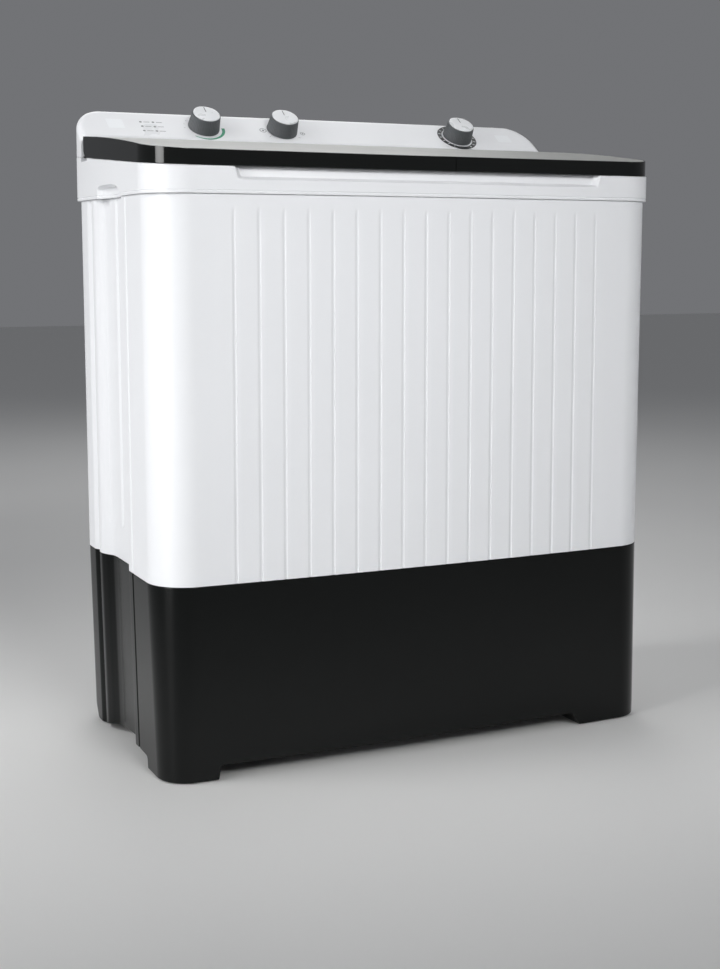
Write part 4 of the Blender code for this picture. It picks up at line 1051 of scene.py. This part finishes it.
def hinge_pins():
    for name, spans in hinge_spans().items():
        for end, (post, lug) in zip(("left", "right"), spans):
            x0 = min(post[0], lug[0]) + 0.0005
            x1 = max(post[1], lug[1]) - 0.0005
            pin = rods(f"{name}_pin_{end}", [across(*HINGE, x0, x1)], 0.0025, 48)
            stand_for(pin, f"{name}_hinge_pin_{end}", 0.0004)


def lid_stops():
    """Small dark buffers under the rear ends of the lids' bands."""
    front, rear, top = LID_STOP
    for side, end in ((-1, "left"), (1, "right")):
        x = side * (DECK_HALF - LID_INSET)
        low, high = sorted((x - side * 0.003, x + side * 0.0004))
        buffer = box("lid_stop_" + end, (low, front, deck_top(front) - 0.0002), (high, rear, top))
        add_on(soften(buffer, 0.0004), "housing", finishes["rubber"])


# --- tubs
def wash_tub():
    skin = 0.0025
    wall_top = grown(WASH_OPENING, 0.002)

    def under(depth):
        return deck_under(depth) - GAP

    def rim(depth):
        return under(depth) - 0.003

    rings = [(WASH_FLOOR, 0.0, 0.046, WASH_FLOOR_Z)]
    for i in range(1, 7):
        angle = math.radians(15 * i)
        amount = 0.004 * math.sin(angle)
        rings.append((WASH_FLOOR, amount, 0.046 + amount, WASH_FLOOR_Z + 0.012 * (1 - math.cos(angle))))
    rings += [
        (wall_top, 0.0, 0.047, under), (wall_top, 0.0055, 0.0525, under), (wall_top, 0.0055, 0.0525, rim),
        (wall_top, skin, 0.0495, rim), (WASH_FLOOR, 0.004 + skin, 0.0525, WASH_FLOOR_Z + 0.012),
        (WASH_FLOOR, skin, 0.0485, WASH_FLOOR_Z - skin),
    ]
    sections = [raised(rounded_rect(*grown(rect, more), corner), z) for rect, more, corner, z in rings]
    tub = loft("wash_tub_bowl", sections)
    drill(tub, [upright(PULSATOR, 0.4, 0.43)], 0.0165, 48)
    drill(tub, [upright(DRAIN, 0.4, 0.43)], 0.015, 48)
    stand_for(tub, "wash_tub")


def spin_tub():
    skin = 0.0025
    outer = SPIN_TUB_R + skin
    profile = [
        (outer + 0.004, 0.915), (outer + 0.004, 0.875), (outer, 0.869), (outer, SPIN_FLOOR_Z),
        (outer - 0.012, SPIN_FLOOR_Z - skin), (0.03, SPIN_FLOOR_Z - skin), (0.03, SPIN_FLOOR_Z),
        (SPIN_TUB_R - 0.011, SPIN_FLOOR_Z), (SPIN_TUB_R - 0.004, SPIN_FLOOR_Z + 0.003),
        (SPIN_TUB_R, SPIN_FLOOR_Z + 0.01), (SPIN_TUB_R, 0.915),
    ]
    tub = lathe("spin_tub_can", profile, place(*SPIN, 0.0))
    slope = [(-0.02, deck_under(-0.02) - GAP), (0.36, deck_under(0.36) - GAP), (0.36, 0.97), (-0.02, 0.97)]
    cut(tub, prism("rim_cutter", slope, 0.05, 0.42, "X"))
    drill(tub, [upright(SPIN_DRAIN, 0.41, 0.45)], 0.01)
    stand_for(tub, "spin_tub")


def overflow_cover():
    """Half-round duct cover with its rows of slots."""
    outer = arc(DRAIN[0], 0.2995, 0.03, 180, 360, 32)
    inner = arc(DRAIN[0], 0.2995, 0.0275, 360, 180, 32)
    cover = prism("overflow_duct", outer + inner, 0.445, 0.88)
    for row in range(9):
        z = 0.47 + 0.014 * row
        slot = box("duct_slot_cutter", (DRAIN[0] - 0.014, 0.262, z), (DRAIN[0] + 0.014, 0.285, z + 0.004))
        cut(cover, slot)
    stand_for(cover, "overflow_cover", 0.0004)


def pulsator():
    base = WASH_FLOOR_Z + 0.006
    r = PULSATOR_R
    dome = ((0.0, 0.026), (0.01, 0.0259), (0.02, 0.0252), (0.03, 0.0236), (0.038, 0.02), (0.046, 0.015),
            (0.055, 0.0105), (0.07, 0.0082), (r - 0.02, 0.0068), (r - 0.01, 0.0078), (r - 0.004, 0.0102),
            (r - 0.001, 0.0118), (r, 0.011), (r, 0.0), (0.0, 0.0))
    vane = ((0.02, 0.004), (0.02, 0.03), (0.03, 0.03), (0.045, 0.029), (0.06, 0.0272), (0.08, 0.023),
            (0.1, 0.017), (r - 0.012, 0.0125), (r - 0.006, 0.0085), (r - 0.006, 0.004))
    profile = [(radius, base + rise) for radius, rise in dome]
    disc = lathe("pulsator_disc", profile, place(*PULSATOR, 0.0), closed=False)
    middle = Matrix.Translation(place(*PULSATOR, 0.0))
    for i in range(4):
        ends = []
        for side, drop in ((-0.006, 0.0022), (-0.004, 0.0), (0.004, 0.0), (0.006, 0.0022)):
            ends.append([Vector((side, depth, base + rise - (drop if rise > 0.005 else 0.0)))
                         for depth, rise in vane])
        tool = loft("vane_tool", ends)
        tool.data.transform(middle @ Matrix.Rotation(math.radians(45 + 90 * i), 4, "Z"))
        join(disc, tool)
    holes = []
    for i in range(24):
        angle = 2 * math.pi * (i + 0.5) / 24
        if i % 6 in (2, 3):
            continue
        spot = place(PULSATOR[0] + 0.092 * math.cos(angle), PULSATOR[1] + 0.092 * math.sin(angle), 0.0)
        holes.append((spot + Vector((0, 0, base - 0.01)), spot + Vector((0, 0, base + 0.03))))
    drill(disc, holes, 0.003, 20)
    stand_for(disc, "pulsator")


def spin_basket():
    low, high = BASKET_Z
    r = BASKET_R
    skin = 0.002
    profile = [
        (r - 0.017, high - 0.001), (r - 0.0155, high), (r - 0.004, high), (r - 0.0012, high - 0.0012),
        (r, high - 0.004), (r, high - 0.026), (r - 0.002, high - 0.028), (r - 0.004, low + 0.02),
        (r - 0.0055, low + 0.008), (r - 0.01, low), (0.0, low), (0.0, low + 0.052), (0.008, low + 0.0518),
        (0.018, low + 0.048), (0.028, low + 0.03), (0.04, low + 0.01), (0.05, low + skin),
        (r - 0.012, low + skin), (r - 0.0075, low + 0.01), (r - 0.006, low + 0.02), (r - 0.006, high - 0.028),
        (r - 0.017, high - 0.026),
    ]
    basket = lathe("basket_drum", profile, place(*SPIN, 0.0))
    holes = []
    for row in range(11):
        z = low + 0.05 + 0.029 * row
        for i in range(18):
            angle = 2 * math.pi * (i + 0.5 * (row % 2)) / 18
            way = Vector((math.cos(angle), math.sin(angle), 0.0))
            spot = place(*SPIN, z)
            holes.append((spot + 0.105 * way, spot + 0.125 * way))
    drill(basket, holes, 0.0026, 16)
    stand_for(basket, "spin_basket")


# --- drives, water and wiring
def pulley(radius, half):
    groove = radius - 0.0065
    rim = radius + 0.0035
    upper = [(rim - 0.0008, half), (rim, half - 0.0008), (rim, 0.0066), (rim - 0.0005, 0.0058),
             (groove, 0.002)]
    return upper + [(radius, -height) for radius, height in reversed(upper)]


def finned(count, depth, low, high, least):
    """Cooling fins round a motor's casing between two heights."""
    def wave(angle, radius, height):
        if radius < least or not low <= height <= high:
            return radius
        return radius - depth * (0.5 + 0.5 * math.cos(count * angle))
    return wave


def turned_parts():
    """The turned pieces under the tubs: name, node, centre in plan, profile, and whether it is a ring."""
    floor = WASH_FLOOR_Z - 0.0025 - GAP
    wheel = [(0.0, WASH_FLOOR_Z + 0.0055), (0.0074, WASH_FLOOR_Z + 0.0055), (0.008, WASH_FLOOR_Z + 0.0049),
             (0.008, 0.304), (0.016, 0.304), (0.016, 0.278)]
    wheel += [(radius, BELT_Z + z) for radius, z in pulley(BELT_R[0], 0.007)] + [(0.0, 0.264)]
    rotor = [(0.0, 0.2895), (0.006, 0.2895), (0.006, 0.28)]
    rotor += [(radius, BELT_Z + z) for radius, z in pulley(BELT_R[1], 0.007)] + [(0.0, 0.264)]
    sump = [(0.026, floor), (0.026, 0.392), (0.013, 0.384), (0.013, 0.36), (0.0105, 0.36), (0.0105, 0.386),
            (0.0235, 0.394), (0.0235, floor)]
    housing = [(0.046, floor), (0.046, floor - 0.005), (0.03, floor - 0.012), (0.026, 0.305), (0.0085, 0.305),
               (0.0085, floor)]
    casing = [(0.0, 0.372), (0.034, 0.372), (0.04, 0.3705), (0.05, 0.368), (0.056, 0.364), (0.0565, 0.35),
              (0.0575, 0.318), (0.058, 0.306), (0.058, 0.3), (0.05, 0.295), (0.04, 0.29), (0.0, 0.29)]
    spin_casing = [(0.0, 0.205), (0.03, 0.205), (0.046, 0.2015), (0.058, 0.1975), (0.06, 0.196),
                   (0.0605, 0.18), (0.0615, 0.14), (0.062, 0.11), (0.062, 0.095), (0.0, 0.095)]
    shaft = [(0.0, BASKET_Z[0] - GAP), (0.0072, BASKET_Z[0] - GAP), (0.008, BASKET_Z[0] - GAP - 0.0008),
             (0.008, 0.285), (0.02, 0.285), (0.02, 0.278), (0.054, 0.278), (0.055, 0.277), (0.055, 0.243),
             (0.05, 0.243), (0.05, 0.272), (0.016, 0.272), (0.016, 0.2055), (0.0, 0.2055)]
    seal = [(0.014, 0.452), (0.017, 0.4515), (0.02, 0.448), (0.027, 0.4385), (0.036, 0.4345),
            (0.036, SPIN_FLOOR_Z + GAP), (0.0296, SPIN_FLOOR_Z + GAP), (0.0296, 0.418), (0.024, 0.405),
            (0.0088, 0.405), (0.0088, 0.452)]
    plug_floor = WASH_FLOOR_Z + GAP
    plug = [(0.0, 0.884), (0.0018, 0.8838), (0.0025, 0.883)]
    plug += [(radius, plug_floor + rise) for radius, rise in
             ((0.0025, 0.014), (0.007, 0.012), (0.015, 0.008), (0.0185, 0.0055), (0.0185, 0.0), (0.0, 0.0))]
    fins = finned(36, 0.0016, 0.306, 0.364, 0.05)
    spin_fins = finned(36, 0.0016, 0.11, 0.196, 0.05)
    return [
        ("bearing_sleeve", "bearing_housing", PULSATOR, housing, True, None),
        ("pulsator_wheel", "pulsator_drive", PULSATOR, wheel, False, None),
        ("wash_motor_case", "wash_motor", MOTOR, casing, False, fins),
        ("motor_wheel_rotor", "motor_pulley", MOTOR, rotor, False, None),
        ("spin_motor_case", "spin_motor", SPIN, spin_casing, False, spin_fins),
        ("spin_shaft_bell", "spin_shaft", SPIN, shaft, False, None),
        ("spin_seal_ring", "spin_seal", SPIN, seal, True, None),
        ("drain_sump_cup", "drain_sump", DRAIN, sump, True, None),
        ("plug_stopper", "drain_plug", DRAIN, plug, False, None),
    ]


def turned_pieces():
    for name, node, centre, profile, ring, wave in turned_parts():
        steps = 288 if wave else LATHE_STEPS
        stand_for(lathe(name, profile, place(*centre, 0.0), steps, closed=ring, wave=wave), node)
    for i in range(3):
        angle = math.radians(90 + 120 * i)
        spot = place(SPIN[0] + 0.044 * math.cos(angle), SPIN[1] + 0.044 * math.sin(angle), FOOT_H + 0.0044)
        mount = [(0.0, 0.0675)]
        for z in (0.0675, 0.034):
            mount += [(0.011 + 0.004 * math.sin(math.radians(a)), z - 0.03 * a / 180)
                      for a in range(0, 181, 15)]
        mount += [(0.015, 0.0), (0.0, 0.0)]
        stand_for(lathe(f"buffer_{i + 1}", mount, spot, 48, closed=False), f"spin_motor_mount_{i + 1}")
    end = DECK_REAR - 0.0003
    for name, x in (("wash", PULSATOR[0]), ("spin", SPIN[0])):
        profile = [(0.0124, end), (0.013, end - 0.0006), (0.013, 0.425), (0.0134, 0.4244), (0.013, 0.4238),
                   (0.013, 0.4205), (0.0176, 0.4202), (0.018, 0.4198), (0.018, BODY_REAR + GAP),
                   (0.013, BODY_REAR + GAP), (0.013, 0.395), (0.0085, 0.395), (0.0085, end)]
        stand_for(lathe(f"{name}_inlet", profile, place(x, 0.0, INLET_Z), 64, "Y"), f"inlet_spigot_{name}")
    rear = BODY_REAR - 0.001 + GAP
    gland = [(0.0064, end), (0.0072, end - 0.0004), (0.01, 0.423), (0.0118, rear + 0.0008), (0.012, rear),
             (0.008, rear), (0.008, 0.406), (0.004, 0.406), (0.004, end)]
    stand_for(lathe("cord_bush", gland, place(GLAND[0], 0.0, GLAND[1]), 48, "Y"), "cord_gland")


def smooth_route(stops, steps=5):
    points = [Vector(stop) for stop in stops]
    padded = [2 * points[0] - points[1]] + points + [2 * points[-1] - points[-2]]
    route = []
    for p0, p1, p2, p3 in zip(padded, padded[1:], padded[2:], padded[3:]):
        for i in range(steps):
            t = i / steps
            route.append(0.5 * (2 * p1 + (p2 - p0) * t + (2 * p0 - 5 * p1 + 4 * p2 - p3) * t * t
                                + (3 * p1 - p0 - 3 * p2 + p3) * t ** 3))
    return route + [points[-1]]


def even_route(route, step):
    """The same route with its points an even step apart."""
    points = [Vector(p) for p in route]
    out = [points[0]]
    left = step
    for a, b in zip(points, points[1:]):
        length = (b - a).length
        at = left
        while at < length:
            out.append(a.lerp(b, at / length))
            at += step
        left = at - length
    return out + [points[-1]]


def hose(name, node, radius, stops):
    """A corrugated hose with plain ends."""
    points = [place(*stop) for stop in stops]
    middle = smooth_route(points[1:-1], 3)
    route = even_route([points[0]] + middle + [points[-1]], 0.0011)
    total = 0.0011 * len(route)

    def ribs(run):
        if run < 0.018 or run > total - 0.022:
            return radius - 0.0003
        return radius - 0.0009 * (0.5 + 0.5 * math.cos(2 * math.pi * run / 0.0055))

    stand_for(tube(name, route, ribs, 28), node, angle=60)


def plumbing():
    hose("wash_hose", "wash_drain_hose", 0.012, [
        (*DRAIN, 0.3596), (*DRAIN, 0.345), (-0.07, 0.295, 0.31), (-0.03, 0.34, 0.245),
        (0.025, 0.366, 0.2), (0.045, 0.37, 0.165), (0.045, 0.37, 0.1504),
    ])
    hose("spin_hose", "spin_drain_hose", 0.011, [
        (*SPIN_DRAIN, 0.427), (*SPIN_DRAIN, 0.41), (0.149, 0.225, 0.37), (0.128, 0.275, 0.29),
        (0.088, 0.355, 0.205), (0.075, 0.37, 0.165), (0.075, 0.37, 0.1504),
    ])
    x, z = OUTLET
    body = box("outlet_body", (x - 0.03, 0.352, z - 0.025), (x + 0.03, 0.39, 0.15))
    join(body, rods("spigot_tool", [lengthways(x, z, 0.385, 0.4262)], 0.016, 64))
    drill(body, [lengthways(x, z, 0.362, 0.46)], 0.013, 64)
    stand_for(body, "drain_outlet", 0.001)
    can = rods("capacitor_can", [upright((-0.2, 0.345), FOOT_H + 0.0046, 0.1)], 0.021, 64)
    stand_for(can, "capacitor", 0.0015)


def drive_details():
    bracket = prism("bracket_plate", rounded_rect((-0.386, 0.075), (-0.06, 0.3), 0.02, 10), 0.375, 0.3775)
    drill(bracket, [upright(PULSATOR, 0.36, 0.39)], 0.031, 64)
    drill(bracket, [upright(DRAIN, 0.36, 0.39)], 0.04, 64)
    stand_for(bracket, "drive_bracket", 0.0004)
    big = Vector(PULSATOR)
    small = Vector(MOTOR)
    line = small - big
    heading = math.degrees(math.atan2(line.y, line.x))
    lean = math.degrees(math.acos((BELT_R[0] - BELT_R[1]) / line.length))
    route = arc(*big, BELT_R[0], heading + lean, heading + 360 - lean, 72)
    route += arc(*small, BELT_R[1], heading - lean, heading + lean, 32)
    belt = tube("belt_loop", [place(x, depth, BELT_Z) for x, depth in route], 0.0035, 16, cyclic=True)
    stand_for(belt, "drive_belt", angle=60)
    band = arc(*SPIN, 0.0585, 30, 330, 96) + arc(*SPIN, 0.0562, 330, 30, 96)
    stand_for(prism("brake_strap", band, 0.25, 0.27), "brake_band", 0.0003)
    pivot = (SPIN[0] + 0.078, SPIN[1] + 0.03)
    outline = arc(*pivot, 0.007, 90, 270, 24)
    outline += [(pivot[0] + 0.05, pivot[1] - 0.004), (pivot[0] + 0.05, pivot[1] + 0.004)]
    stand_for(prism("brake_arm_plate", outline, 0.256, 0.262), "brake_lever", 0.0006)
    stops = [(pivot[0] + 0.046, pivot[1], 0.2626), (0.36, 0.202, 0.285), (0.376, 0.225, 0.33),
             (0.384, 0.262, 0.4), (0.386, 0.288, 0.5), (0.386, 0.296, 0.62), (0.386, 0.3, 0.74),
             (0.388, 0.302, 0.83), (0.39, 0.303, 0.88)]
    cable = tube("brake_wire", even_route([place(*stop) for stop in stops], 0.006), 0.0019, 16)
    stand_for(cable, "brake_cable", angle=60)
    for name, x in KNOB_X.items():
        case = rods(name + "_case", [(face_point(x, -0.0265), face_point(x, -0.0036))], 0.018, 64)
        stand_for(case, name + "_switch" if name == "selector" else name, 0.0008)
    pads = {
        "foot_pad_front_left": ((-0.4, 0.02), (-0.34, 0.082)),
        "foot_pad_front_right": ((0.302, 0.02), (0.4, 0.082)),
        "foot_pad_rear_left": ((-0.394, 0.336), (-0.34, 0.388)),
        "foot_pad_rear_right": ((0.34, 0.336), (0.394, 0.388)),
    }
    for node, (low, high) in pads.items():
        pad = prism(node.replace("foot", "sole"), rounded_rect(low, high, 0.012), 0.0, PAD_TOP)
        stand_for(pad, node, 0.0003)


# --- stage
def stage():
    scene = bpy.context.scene
    camera = bpy.data.cameras.new("camera")
    camera.sensor_fit = "VERTICAL"
    camera.sensor_height = 36.0
    camera.lens = CAMERA_LENS
    camera.shift_y = CAMERA_SHIFT
    viewer = bpy.data.objects.new("camera", camera)
    viewer.location = CAMERA_SPOT
    viewer.rotation_euler = (math.pi / 2 - CAMERA_TILT, 0.0, CAMERA_TURN)
    scene.collection.objects.link(viewer)
    scene.camera = viewer
    bm = bmesh.new()
    bmesh.ops.create_grid(bm, x_segments=1, y_segments=1, size=14.0)
    floor = from_bmesh("floor", bm)
    pale = surface("floor_pale", (0.8, 0.8, 0.79), 0.6, grain=(60.0, 0.02), cloud=(1.5, 0.05))
    floor.data.materials.append(pale)
    world = bpy.data.worlds.new("studio")
    world.use_nodes = True
    world.node_tree.nodes["Background"].inputs["Color"].default_value = (0.93, 0.95, 1.0, 1.0)
    world.node_tree.nodes["Background"].inputs["Strength"].default_value = 0.18
    scene.world = world
    scene.view_settings.view_transform = "Standard"
    for light in LIGHTS:
        area(*light)


def area(name, spot, aim, width, height, power, spread=180.0):
    lamp = bpy.data.lights.new(name, "AREA")
    lamp.shape = "RECTANGLE"
    lamp.size = width
    lamp.size_y = height
    lamp.energy = power
    lamp.spread = math.radians(spread)
    made = bpy.data.objects.new(name, lamp)
    made.location = spot
    made.rotation_euler = (Vector(aim) - Vector(spot)).to_track_quat("-Z", "Y").to_euler()
    bpy.context.scene.collection.objects.link(made)


def main():
    global frame
    for old in list(bpy.data.objects):
        bpy.data.objects.remove(old, do_unlink=True)
    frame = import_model()
    for step in (make_finishes, stage, base_shell, cabinet_shell, back_cover, deck_rim, console_shell, knobs,
                 prints, lids, inner_cover, hinge_pins, lid_stops, wash_tub, spin_tub, overflow_cover,
                 pulsator, spin_basket, turned_pieces, plumbing, drive_details):
        step()


main()
